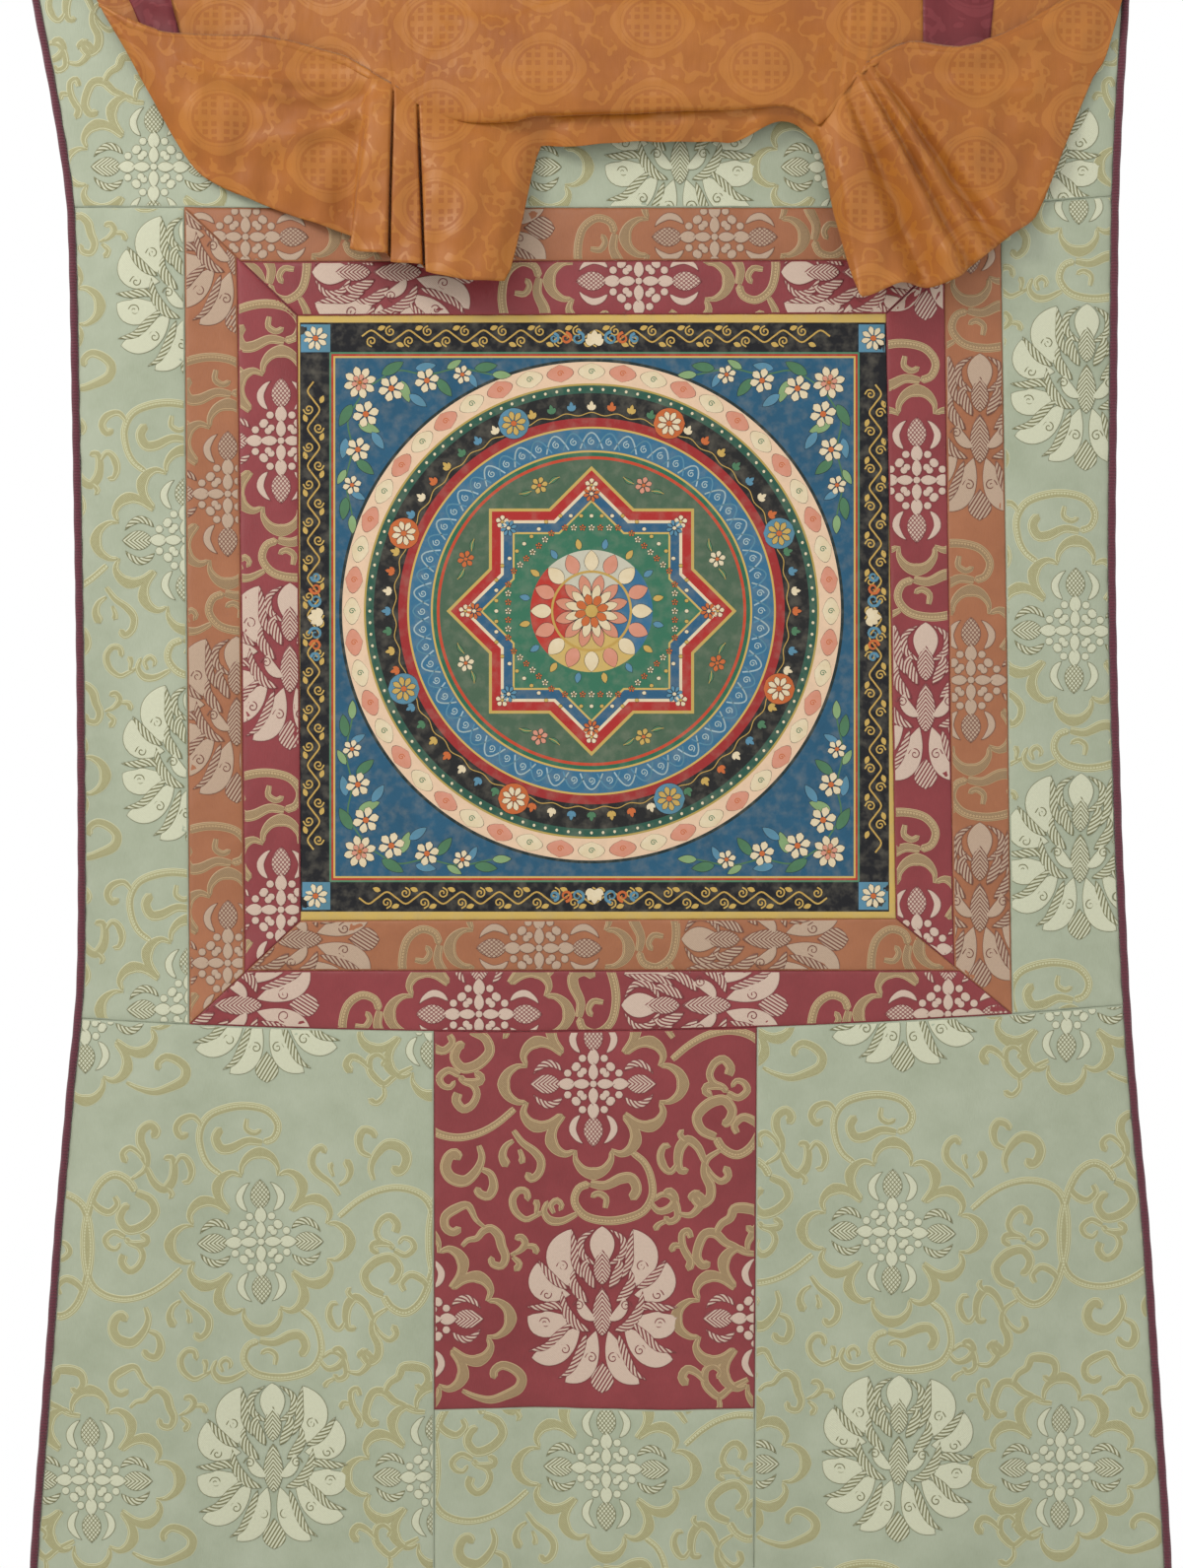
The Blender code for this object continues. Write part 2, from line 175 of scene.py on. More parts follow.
def flat_line(height):
    return lambda x: np.full(np.shape(x), height)


# Where each panel's cloth was cut: the middle of a woven medallion on it, and its turn on the panel.
Panel = namedtuple("Panel", "name cloth left right up low medallion turn")


def panel_table():
    frame_left, frame_right = upright(OUTSIDE, "left"), upright(OUTSIDE, "right")
    door_left = through(-0.0890, LOW_SEAM, -0.0885, -LENGTH)[0]
    door_right = through(0.0858, LOW_SEAM, 0.0840, -LENGTH)[0]
    top, hem, door_hem = flat_line(0.0), flat_line(-LENGTH), flat_line(DOOR_SEAM)
    ends = {(s, e): mitre(s, e) for s in ("left", "right") for e in ("up", "low")}
    sides = {s: (ends[s, "up"][1], ends[s, "low"][1]) for s in ("left", "right")}
    up_ends, low_ends = [(ends["left", e][0], ends["right", e][0]) for e in ("up", "low")]
    ring = {name: square for name, square in (("in", PAINTING), ("mid", BETWEEN), ("out", OUTSIDE))}
    line = {(n, s): upright(q, s) for n, q in ring.items() for s in ("left", "right")}
    cross = {(n, e): level(q, e) for n, q in ring.items() for e in ("up", "low")}
    in_left, in_right = line["in", "left"], line["in", "right"]
    mid_left, mid_right = line["mid", "left"], line["mid", "right"]
    out_left, out_right = line["out", "left"], line["out", "right"]
    in_up, in_low = cross["in", "up"], cross["in", "low"]
    mid_up, mid_low = cross["mid", "up"], cross["mid", "low"]
    left_ends, right_ends = sides["left"], sides["right"]
    return [
        Panel("top_band", "green", left_edge, right_edge, top, top_seam, (0.0394, -0.0219), 0),
        Panel("side_left", "green", left_edge, frame_left, top_seam, low_seam, (-0.2233, -0.3507), 0.5),
        Panel("side_right", "green", frame_right, right_edge, top_seam, low_seam, (0.2574, -0.3998), -0.6),
        Panel("bottom_left", "green", left_edge, door_left, low_seam, hem, (-0.1828, -0.7308), 0.8),
        Panel("bottom_centre", "green", door_left, door_right, door_hem, hem, (0.0043, -0.8528), 0),
        Panel("bottom_right", "green", door_right, right_edge, low_seam, hem, (0.1588, -0.7249), -0.7),
        Panel("door", "red", door_left, door_right, low_seam, door_hem, (-0.0027, -0.6449), 0),
        Panel("red_left", "red", mid_left, in_left, *left_ends, (-0.1716, -0.2969), 0),
        Panel("red_right", "red", in_right, mid_right, *right_ends, (0.1722, -0.3182), 0),
        Panel("red_top", "red", *up_ends, mid_up, in_up, (0.0219, -0.2105), 90),
        Panel("red_bottom", "red", *low_ends, mid_low, low_seam, (-0.0645, -0.6071), 90),
        Panel("orange_left", "orange", out_left, mid_left, *left_ends, (-0.2004, -0.3257), 0),
        Panel("orange_right", "orange", mid_right, out_right, *right_ends, (0.2015, -0.4264), 0),
        Panel("orange_top", "orange", *up_ends, top_seam, mid_up, (0.0629, -0.1866), 90),
        Panel("orange_bottom", "orange", *low_ends, in_low, mid_low, (-0.0320, -0.5714), 90),
        Panel("painting", "canvas", in_left, in_right, in_up, in_low, None, 0),
    ]


# ---------------------------------------------------------------- materials


class Wire:
    """A socket whose sums are written as Python sums; each adds its Math node."""

    def __init__(self, finish, socket):
        self.finish, self.socket = finish, socket

    def sum(self, operation, *others, clamp=False):
        settings = {"operation": operation, "use_clamp": clamp}
        return self.finish.node("ShaderNodeMath", settings, dict(enumerate((self, *others))))

    def turned(self, operation, other):
        return self.finish.node("ShaderNodeMath", {"operation": operation}, {0: other, 1: self})

    def __add__(self, other):
        return self.sum("ADD", other)

    def __mul__(self, other):
        return self.sum("MULTIPLY", other)

    def __sub__(self, other):
        return self.sum("SUBTRACT", other)

    def __truediv__(self, other):
        return self.sum("DIVIDE", other)

    def __rsub__(self, other):
        return self.turned("SUBTRACT", other)

    def __rtruediv__(self, other):
        return self.turned("DIVIDE", other)

    __radd__, __rmul__ = __add__, __mul__

    def __abs__(self):
        return self.sum("ABSOLUTE")

    def __lt__(self, other):
        return self.sum("LESS_THAN", other)

    def __gt__(self, other):
        return self.sum("GREATER_THAN", other)

    def near(self, value, within):
        return self.sum("COMPARE", value, within)

    def fract(self):
        return self.sum("FRACT")

    def least(self, other):
        return self.sum("MINIMUM", other)

    def most(self, other):
        return self.sum("MAXIMUM", other)

    def ramp(self, low, high):
        """0 at low, 1 at high, clamped between."""
        return self.finish.node("ShaderNodeMapRange", {}, {0: self, 1: low, 2: high, 3: 0.0, 4: 1.0})


class Finish:
    """A material. node() takes a node's type, its settings and the values or links of its sockets."""

    def __init__(self, name, **plain):
        self.material = bpy.data.materials.new(name)
        self.material.use_nodes = True
        self.tree = self.material.node_tree
        self.surface = self.tree.nodes["Principled BSDF"]
        for socket, value in plain.items():
            self.surface.inputs[socket.replace("_", " ")].default_value = value

    def node(self, kind, settings=None, sockets=None, out=0):
        made = self.tree.nodes.new(kind)
        for name, value in (settings or {}).items():
            setattr(made, name, value)
        for name, value in (sockets or {}).items():
            if isinstance(value, Wire):
                self.tree.links.new(value.socket, made.inputs[name])
            else:
                made.inputs[name].default_value = value
        return Wire(self, made.outputs[out])

    def mix(self, share, first, second, blend="MIX"):
        colours = {0: share, 6: self.colour(first), 7: self.colour(second)}
        return self.node("ShaderNodeMix", {"data_type": "RGBA", "blend_type": blend}, colours, out=2)

    def colour(self, value):
        return value if isinstance(value, Wire) else (*value, 1.0)

    def place(self, scale=(1.0, 1.0, 1.0), turn=0.0):
        """Object coordinates, turned about the line of sight and scaled."""
        here = self.node("ShaderNodeTexCoord", out=3)
        return self.node("ShaderNodeMapping", {}, {0: here, 2: (0, math.radians(turn), 0), 3: scale})

    def split(self, vector):
        apart = self.node("ShaderNodeSeparateXYZ", {}, {0: vector}).socket.node
        return [Wire(self, socket) for socket in apart.outputs]

    def noise(self, vector, scale, detail=3.0, rough=0.55):
        return self.node("ShaderNodeTexNoise", {}, {0: vector, 2: scale, 3: detail, 4: rough})

    def marks(self):
        """What a stroke carries: offset from its middle line, half width, way along it (mm), and style."""
        read = self.node("ShaderNodeAttribute", {"attribute_name": "stroke"})
        offset, half, along = self.split(read)
        return offset, half, along, Wire(self, read.socket.node.outputs["Alpha"])

    def finish(self, **links):
        for socket, wire in links.items():
            self.tree.links.new(wire.socket, self.surface.inputs[socket.replace("_", " ")])
        return self.material

    def bump(self, height, distance, strength):
        return self.node("ShaderNodeBump", {}, {"Strength": strength, "Distance": distance, "Height": height})


GROUND = {
    "green": ((0.265, 0.300, 0.205), (0.400, 0.435, 0.330)),
    "red": ((0.150, 0.010, 0.013), (0.265, 0.034, 0.040)),
    "orange": ((0.240, 0.078, 0.026), (0.370, 0.140, 0.058)),
}
SCROLL = {
    "green": ((0.190, 0.165, 0.045), (0.470, 0.470, 0.290)),
    "red": ((0.160, 0.090, 0.035), (0.420, 0.300, 0.150)),
    "orange": ((0.150, 0.085, 0.035), (0.380, 0.250, 0.120)),
}
FLOWER = {
    "green": ((0.560, 0.570, 0.410), (0.150, 0.145, 0.062)),
    "red": ((0.560, 0.420, 0.330), (0.160, 0.022, 0.022)),
    "orange": ((0.440, 0.310, 0.215), (0.140, 0.045, 0.022)),
}


def satin_ground(name, cloth, turn):
    """Satin with a cloudy sheen painted into its colour, warp streaks and fine ribs."""
    f = Finish(name, Sheen_Weight=0.15, Sheen_Roughness=0.4, Specular_IOR_Level=0.45)
    here = f.place(turn=turn)
    dark, light = GROUND[cloth]
    clouds = f.noise(here, 34.0, 5.0, 0.62)
    streaks = f.noise(f.place((2200.0, 1.0, 260.0), turn), 1.0, 2.0)
    painted_broad_shade = f.noise(here, 9.0, 2.0)
    # painted sheen and shade: the clouds and the broad noise lighten and darken the satin between its dark
    # and light colours; the streaks are its warp threads
    tone = (clouds * 1.1 + streaks * 0.35 + painted_broad_shade * 0.5 - 0.60).sum("ADD", 0.0, clamp=True)
    colour = f.mix(tone, dark, light)
    ribs = f.node("ShaderNodeTexWave", {"bands_direction": "Z"}, {0: here, 1: 900.0, 2: 0.6, 3: 1.0})
    height = clouds * 0.5 + ribs * 0.12 + streaks * 0.4
    rough = clouds * 0.25 + 0.32
    return f.finish(Base_Color=colour, Roughness=rough, Normal=f.bump(height, 0.0006, 0.55))


def cloth_reverse(name, cloth, turn):
    """The back of the brocade: duller, with loose floats across it."""
    f = Finish(name)
    here = f.place(turn=turn)
    dark, light = GROUND[cloth]
    floats = f.noise(f.place((60.0, 1.0, 1500.0), turn), 1.0, 2.0)
    bars = f.node("ShaderNodeTexWave", {"bands_direction": "Z"}, {0: here, 1: 300.0, 2: 1.2, 3: 2.0})
    colour = f.mix(floats * 0.7 + bars * 0.3, dark, SCROLL[cloth][1])
    colour = f.mix(f.noise(here, 12.0) * 0.5, colour, light)
    normal = f.bump(floats + bars, 0.0004, 0.6)
    return f.finish(Base_Color=colour, Roughness=floats * 0.2 + 0.6, Normal=normal)


SCROLL_STYLE, STEM_STYLE, PETAL_STYLE, CHEVRON_STYLE, LATTICE_STYLE, TWIST_STYLE, LINE_STYLE = range(7)


def woven_figures(name, cloth):
    """One finish for all woven strokes, told apart by the style that each carries."""
    f = Finish(name, Sheen_Weight=0.1, Specular_IOR_Level=0.5)
    offset, half, along, style = f.marks()
    rim = half - abs(offset)
    body, thread = SCROLL[cloth]
    petal, line = FLOWER[cloth]
    here = f.place((900.0, 1.0, 900.0))
    grain = f.noise(here, 1.0, 2.0)
    twill_sockets = {0: f.place(), 1: 520.0, 2: 0.5, 3: 1.0}
    twill = f.node("ShaderNodeTexWave", {"bands_direction": "DIAGONAL"}, twill_sockets)
    body_tone = f.mix(grain * 0.45 + twill * 0.3, body, thread)
    stripe = (half - offset).near(1.1, 0.22) * (half > 1.3)
    rope = (abs(offset) < 0.42) * ((along / 1.7).fract() < 0.62) * style.near(STEM_STYLE, 0.4)
    bright = (rim < 0.38).most(stripe).most(rope)
    scroll = f.mix(bright, body_tone, thread)
    inner = f.mix(grain * 0.5 + twill * 0.25, petal, tuple(c * 0.62 for c in petal))
    folds = ((along + abs(offset) * 1.3) / 2.3).fract() < 0.42
    net = ((along + offset * 1.2) / 2.6).fract() < 0.26
    net = net.most(((along - offset * 1.2) / 2.6).fract() < 0.26)
    twist = ((along + offset * 1.6) / 3.4).fract() < 0.46
    shade = (folds * style.near(CHEVRON_STYLE, 0.4)).most(net * style.near(LATTICE_STYLE, 0.4))
    shade = shade.most(twist * style.near(TWIST_STYLE, 0.4)).most(rim < 0.30).most(style > LINE_STYLE - 0.5)
    flower = f.mix(shade, inner, line)
    colour = f.mix(style > PETAL_STYLE - 0.5, scroll, flower)
    height = rim.ramp(0.0, 0.7) + grain * 0.35 + twill * 0.25 - shade * (style > PETAL_STYLE - 0.5) * 0.5
    rough = grain * 0.25 + 0.36
    return f.finish(Base_Color=colour, Roughness=rough, Normal=f.bump(height, 0.0004, 0.7))


# ---------------------------------------------------------------- strokes

def soft_path(points, step):
    """A smooth curve through a few points, read about every step."""
    p = np.array(points, dtype=float)
    if len(p) == 2:
        p = np.array([p[0], (p[0] + p[1]) / 2, p[1]])
    padded = np.vstack([2 * p[0] - p[1], p, 2 * p[-1] - p[-2]])
    out = []
    for k in range(1, len(padded) - 2):
        a, b, c, d = padded[k - 1 : k + 3]
        count = max(2, int(math.ceil(np.hypot(*(c - b)) / step)))
        t = np.linspace(0, 1, count, endpoint=False)[:, None]
        out.append(b + 0.5 * t * (c - a + t * (2 * a - 5 * b + 4 * c - d + t * (3 * (b - c) + d - a))))
    return np.vstack([*out, p[-1:]])


def scroll_width(start, middle, end):
    """Half widths of a scroll: three widths along it, with a round head at its far end."""

    def half(way, total):
        t = way / total
        width = np.where(t < 0.5, start + (middle - start) * 2 * t, middle + (end - middle) * (2 * t - 1)) / 2
        head = np.clip((total - way) / (end / 2), 0.0, 1.0)
        tail = np.clip(0.5 + way / start, 0.0, 1.0)
        return width * np.sqrt(1 - (1 - head) ** 2 + 1e-4) * np.sqrt(1 - (1 - tail) ** 2 + 1e-4)

    return half


def petal_width(width, fullest=0.45):
    """Half widths of a petal: a narrow root, fullest part way, and a pointed tip."""
    power = math.log(0.5) / math.log(fullest)
    return lambda way, total: width / 2 * np.sin(math.pi * (way / total) ** power) ** 0.75 + 0.02


def even_width(width):
    return lambda way, total: np.full(way.shape, width / 2)


class Chart:
    """Strokes drawn flat, each a narrow grid laid along its path."""

    def __init__(self, unit, step):
        self.unit, self.step = unit, step
        self.made = bmesh.new()
        self.stroke = self.made.verts.layers.float_color.new("stroke")
        self.paint = self.made.verts.layers.float_color.new("paint")
        self.count = 0

    def add(self, path, width, style, lift=0.10, paint=(1, 1, 1), crown=0.2, step=None):
        """One stroke: width() gives its half widths; lift and crown are its height and its swell, in mm."""
        line = soft_path(path, step or self.step)
        ahead = np.gradient(line, axis=0)
        side = np.stack([-ahead[:, 1], ahead[:, 0]], axis=1) / (np.hypot(*ahead.T)[:, None] + 1e-9)
        way = np.concatenate([[0], np.cumsum(np.hypot(*np.diff(line, axis=0).T))])
        half = width(way, way[-1])
        last = len(line) - 1
        grid = bmesh.ops.create_grid(self.made, x_segments=last, y_segments=2, size=1.0)["verts"]
        mm = self.unit / MM
        self.count += 1
        for point in grid:
            k, across = round((point.co.x + 1) / 2 * last), round(point.co.y)
            x, z = (line[k] + side[k] * half[k] * across) * self.unit
            rise = lift + (crown if across == 0 else 0.0)
            point.co = (x, -rise * MM, z)
            point[self.stroke] = (half[k] * across * mm, half[k] * mm, way[k] * mm, style)
            point[self.paint] = (*paint, self.count)

    def petal(self, path, width, lift, paint, fullest=0.45):
        self.add(path, petal_width(width, fullest), PETAL_STYLE, lift, paint, crown=0.03)

    def line(self, path, width, lift, paint):
        self.add(path, even_width(width), LINE_STYLE, lift, paint, crown=0.0)

    def bead(self, x, z, radius, style, lift=0.14, paint=(1, 1, 1), crown=0.2):
        def round_width(way, total):
            return radius * np.sqrt(np.maximum(1 - (2 * way / total - 1) ** 2, 1e-4))

        path = [(x - radius, z), (x, z), (x + radius, z)]
        self.add(path, round_width, style, lift, paint, crown=crown, step=radius / (6 if radius > 8 else 3))


def turned(points, degrees):
    c, s = math.cos(math.radians(degrees)), math.sin(math.radians(degrees))
    return [(x * c - z * s, x * s + z * c) for x, z in points]


def mirrored(points):
    return [(-x, z) for x, z in points]


def moved(points, dx, dz):
    return [(x + dx, z + dz) for x, z in points]


def spiral(x, z, radius, start=0.0, way=1):
    turns, steps = 1.4, 9
    return [
        (
            x + radius * (1 - 0.85 * k / steps) * math.cos(start + way * 2 * math.pi * turns * k / steps),
            z + radius * (1 - 0.85 * k / steps) * math.sin(start + way * 2 * math.pi * turns * k / steps),
        )
        for k in range(steps + 1)
    ]


# The brocade's repeat, in squares of the weaver's chart. (0, 0) is the middle of a medallion.
CHART_SQUARE = 0.000533
REPEAT_WIDE, REPEAT_HIGH = 350, 476
LOTUS_AT = (9, -234)

# Cloud scrolls about a medallion, each also woven turned half round: points, then three widths.
AROUND_MEDALLION = [
    ([(124, -54), (110, -47), (105, -34), (113, -23), (124, -17), (134, -17), (141, -27), (137, -38),
      (130, -41)], 8, 10, 8),
    ([(137, 9), (139, 17), (132, 25), (123, 21), (118, 10), (122, 1), (131, -3), (136, -9)], 9, 7, 6),
    ([(136, -9), (147, -14), (156, -7), (153, 1), (145, 3), (140, -4)], 6, 7, 4),
    ([(134, -4), (123, -2), (115, -3), (114, -8), (121, -12)], 5, 8, 6),
    ([(146, -50), (143, -42), (151, -34), (160, -36), (168, -43), (169, -51), (163, -57)], 6, 8, 6),
    ([(-3, -101), (12, -103), (28, -96), (39, -96), (44, -107), (38, -118)], 7, 10, 9),
    ([(12, -126), (13, -116), (5, -111), (-3, -115)], 5, 6, 5),
    ([(-129, 67), (-115, 77), (-113, 91), (-119, 104), (-118, 116), (-109, 122), (-103, 115),
      (-108, 108)], 4, 9, 9),
    ([(-113, 80), (-121, 93), (-130, 99), (-137, 93), (-133, 83)], 3, 6, 8),
    ([(-113, 79), (-106, 64), (-96, 57), (-88, 65), (-86, 79), (-89, 88), (-97, 87)], 6, 10, 6),
    ([(-86, 80), (-79, 89), (-72, 85), (-68, 73), (-72, 63), (-79, 64)], 4, 8, 5),
    ([(-93, 58), (-88, 51), (-92, 46)], 5, 6, 4),
    ([(-81, -47), (-72, -59), (-60, -68), (-53, -78), (-55, -90), (-63, -96), (-68, -89)], 5, 8, 7),
    ([(-81, -57), (-89, -63), (-92, -73), (-87, -84)], 4, 7, 10),
    ([(-75, -66), (-72, -75), (-74, -81)], 4, 5, 8),
    ([(-116, -62), (-113, -74), (-118, -87), (-130, -98), (-144, -95), (-150, -85), (-147, -74),
      (-140, -70), (-135, -77)], 5, 11, 9),
    ([(-113, -86), (-104, -91), (-101, -103), (-106, -113), (-115, -111), (-119, -104)], 5, 9, 7),
    ([(-57, 119), (-66, 129), (-78, 126), (-83, 117), (-78, 109), (-71, 113)], 4, 8, 7),
]
ROPE_STEMS = [
    ([(80, 25), (98, 40), (117, 50), (139, 54), (160, 49), (173, 36), (178, 10), (177, -18),
      (170, -46), (160, -64), (146, -72), (132, -66), (124, -54)], 6, 8, 8),
    ([(40, -70), (51, -79), (58, -93), (60, -112), (52, -128), (36, -136), (14, -139), (-8, -134),
      (-19, -120), (-15, -106), (-3, -101)], 6, 8, 7),
]
# Cloud scrolls about the second medallion and the lotus, woven once in each repeat.
AROUND_LOTUS = [
    ([(-133, -164), (-127, -158), (-118, -156), (-112, -149), (-104, -146), (-96, -153), (-93, -164),
      (-89, -175), (-93, -184), (-102, -182), (-104, -174)], 4, 9, 6),
    ([(-110, -145), (-119, -137), (-127, -123), (-139, -126), (-150, -134), (-150, -145),
      (-142, -150), (-134, -145)], 3, 9, 7),
    ([(-84, -173), (-75, -169), (-69, -162), (-73, -155), (-80, -157)], 3, 7, 6),
    ([(-69, -164), (-60, -165), (-57, -173)], 4, 6, 7),
    ([(-82, -175), (-75, -182), (-80, -190)], 4, 6, 7),
    ([(-133, -311), (-121, -317), (-105, -321), (-90, -317), (-76, -310), (-73, -299), (-81, -290),
      (-93, -286), (-101, -292), (-100, -300)], 4, 10, 7),
    ([(-52, -130), (-60, -134), (-69, -137), (-79, -129), (-82, -117), (-76, -108), (-68, -109),
      (-66, -119)], 4, 7, 6),
    ([(-17, -132), (-32, -139), (-44, -138), (-50, -129), (-46, -118)], 5, 8, 4),
    ([(-40, -131), (-43, -123), (-37, -118), (-32, -123), (-35, -129)], 4, 6, 4),
    ([(-58, -131), (-57, -122), (-60, -117)], 4, 5, 8),
    ([(61, -118), (70, -112), (80, -115), (85, -126), (85, -136), (77, -140), (72, -134)], 4, 7, 6),
    ([(87, -132), (99, -133), (108, -124), (110, -116), (102, -112), (98, -119)], 4, 8, 7),
    ([(74, -139), (66, -143), (62, -149)], 4, 5, 7),
    ([(165, -173), (154, -171), (143, -165), (134, -161), (124, -152), (114, -152), (108, -161),
      (105, -175), (111, -184), (119, -181)], 5, 9, 8),
    ([(124, -152), (130, -142), (139, -136), (143, -127), (154, -126), (166, -130), (169, -141),
      (162, -149), (155, -144)], 6, 10, 6),
    ([(99, -156), (96, -149), (90, -153), (91, -165), (96, -175), (99, -180), (96, -190)], 6, 7, 8),
    ([(90, -165), (82, -164), (79, -171)], 4, 6, 7),
    ([(157, -300), (139, -309), (128, -317), (119, -311), (113, -302), (114, -290), (122, -286),
      (129, -292), (125, -299)], 5, 8, 5),
    ([(113, -301), (104, -292), (95, -289), (90, -297), (96, -305)], 5, 8, 9),
    ([(127, -318), (128, -328), (120, -336), (111, -331)], 4, 6, 7),
]


def weave_medallion(chart, x, z):
    """A four-lobed cartouche round a flower in the shape of a cross."""
    for quarter in range(4):
        for path, widths in (
            ([(67, -18), (77, -18), (87, -11), (91, 0), (87, 11), (77, 18), (67, 18)], (3, 13, 4)),
            ([(67, 18), (71, 28), (66, 38), (56, 43), (44, 40), (32, 30)], (4, 13, 5)),
            ([(30, 32), (40, 44), (43, 56), (38, 66), (28, 71), (18, 67)], (5, 13, 4)),
        ):
            chart.add(moved(turned(path, 90 * quarter), x, z), scroll_width(*widths), SCROLL_STYLE, 0.10)
        for side in (1, -1):
            shape = [(31, 13 * side), (38, 19 * side), (47, 21 * side), (56, 16 * side), (61, 10 * side)]
            claw = moved(turned(shape, 90 * quarter), x, z)
            chart.add(claw, petal_width(8), PETAL_STYLE if quarter % 2 else TWIST_STYLE, 0.10)
            for bx, bz, radius in ((10, 13 * side, 4.0), (18, 17 * side, 4.6), (26, 11 * side, 4.2)):
                (px, pz), = moved(turned([(bx, bz)], 90 * quarter), x, z)
                chart.bead(px, pz, radius, PETAL_STYLE, 0.13)
        leaf = moved(turned([(33, 0), (64, 0)], 90 * quarter), x, z)
        chart.add(leaf, petal_width(20), LATTICE_STYLE if quarter % 2 else CHEVRON_STYLE, 0.12)
        for path, width, lift in (([(18, 0), (37, 0)], 13, 0.15), ([(3, 0), (22, 0)], 11, 0.18)):
            chart.add(moved(turned(path, 90 * quarter), x, z), petal_width(width), PETAL_STYLE, lift)
    chart.bead(x, z, 4.0, PETAL_STYLE, 0.22)


# The right half of the lotus, low petals first: body, its width, and the striped band on its edge.
LOTUS_PETALS = [
    ([(6, -16), (13, -38), (22, -58), (38, -70)], 25, [(16, -19), (24, -42), (33, -58),
      (45, -66)], (11, -44)),
    ([(22, -12), (38, -30), (54, -42), (72, -45)], 27, [(30, -8), (44, -21), (56, -33),
      (75, -38)], (38, -36)),
    ([(32, -3), (48, -9), (62, -10), (76, -2)], 28, [(34, 5), (48, 9), (62, 7), (77, 8)], (58, -9)),
    ([(32, 20), (48, 22), (61, 30), (66, 53)], 27, [(34, 26), (45, 32), (55, 42), (65, 56)], (56, 20)),
    ([(26, 26), (38, 42), (43, 62), (31, 87)], 28, [(20, 36), (27, 52), (28, 68), (31, 87)], (40, 49)),
]
LOTUS_HEART = [
    ([(6, 50), (20, 60), (21, 76), (7, 87)], 8, TWIST_STYLE),
    ([(7, 26), (14, 38), (18, 50), (14, 60)], 11, TWIST_STYLE),
    ([(14, 12), (24, 22), (30, 34), (28, 46)], 11, TWIST_STYLE),
    ([(12, -17), (27, -10), (38, 6), (41, 24)], 11, TWIST_STYLE),
    ([(6, -6), (16, 0), (22, 10), (20, 20)], 12, PETAL_STYLE),
]


def weave_lotus(chart, x, z):
    chart.add(moved([(0, -48), (0, -80)], x, z), petal_width(24, 0.6), TWIST_STYLE, 0.08)
    for flip in (lambda path: path, mirrored):
        for k, (body, width, band, curl) in enumerate(LOTUS_PETALS):
            lift = 0.10 + 0.02 * k
            chart.add(moved(flip(body), x, z), petal_width(width, 0.55), PETAL_STYLE, lift)
            path = moved(flip(spiral(*curl, 6.5)), x, z)
            chart.add(path, even_width(1.1), LINE_STYLE, lift + 0.16, crown=0.03)
            chart.add(moved(flip(band), x, z), petal_width(9), TWIST_STYLE, lift + 0.10)
    chart.add(moved([(0, 44), (0, 90)], x, z), petal_width(26, 0.6), PETAL_STYLE, 0.24)
    for flip in (lambda path: path, mirrored):
        for path, width, style in LOTUS_HEART:
            chart.add(moved(flip(path), x, z), petal_width(width), style, 0.28)
        chart.add(moved(flip(spiral(24, 9, 6)), x, z), even_width(1.1), LINE_STYLE, 0.46, crown=0.03)
    chart.add(moved([(0, 30), (0, 66)], x, z), petal_width(18), CHEVRON_STYLE, 0.34)
    chart.add(moved([(0, -22), (0, 28)], x, z), petal_width(20), CHEVRON_STYLE, 0.32)


def weave_repeat():
    """One repeat of the brocade: two medallions, a lotus, and the clouds and stems between them."""
    chart = Chart(CHART_SQUARE, 3.6)
    for stems, style in ((ROPE_STEMS, STEM_STYLE), (AROUND_MEDALLION, SCROLL_STYLE)):
        for k, (path, *widths) in enumerate(stems):
            for degrees in (0, 180):
                lift = 0.05 + 0.008 * (k % 4)
                chart.add(turned(path, degrees), scroll_width(*(w * 1.12 for w in widths)), style, lift)
    for k, (path, *widths) in enumerate(AROUND_LOTUS):
        chart.add(path, scroll_width(*(w * 1.12 for w in widths)), SCROLL_STYLE, 0.05 + 0.008 * (k % 4))
    weave_medallion(chart, 0, 0)
    weave_medallion(chart, -REPEAT_WIDE / 2, -REPEAT_HIGH / 2)
    weave_lotus(chart, *LOTUS_AT)
    return chart


def linked(name, data):
    piece = bpy.data.objects.new(name, data)
    bpy.context.scene.collection.objects.link(piece)
    return piece


def mesh_arrays(made):
    """A chart's points, faces and marks as arrays, and each point's stroke number."""
    made.verts.ensure_lookup_table()
    stroke, paint = made.verts.layers.float_color["stroke"], made.verts.layers.float_color["paint"]
    points = np.array([v.co[:] for v in made.verts])
    faces = np.array([[v.index for v in face.verts] for face in made.faces])
    marks = [np.array([v[layer][:] for v in made.verts]) for layer in (stroke, paint)]
    return points, faces, *marks


def mesh_from(name, points, faces, stroke, paint):
    mesh = bpy.data.meshes.new(name)
    mesh.vertices.add(len(points))
    mesh.vertices.foreach_set("co", points.ravel())
    mesh.loops.add(faces.size)
    mesh.loops.foreach_set("vertex_index", faces.ravel())
    mesh.polygons.add(len(faces))
    mesh.polygons.foreach_set("loop_start", np.arange(0, faces.size, faces.shape[1]))
    for label, values in (("stroke", stroke), ("paint", paint)):
        layer = mesh.attributes.new(label, "FLOAT_COLOR", "POINT")
        layer.data.foreach_set("color", values.ravel())
    mesh.update(calc_edges=True)
    return mesh


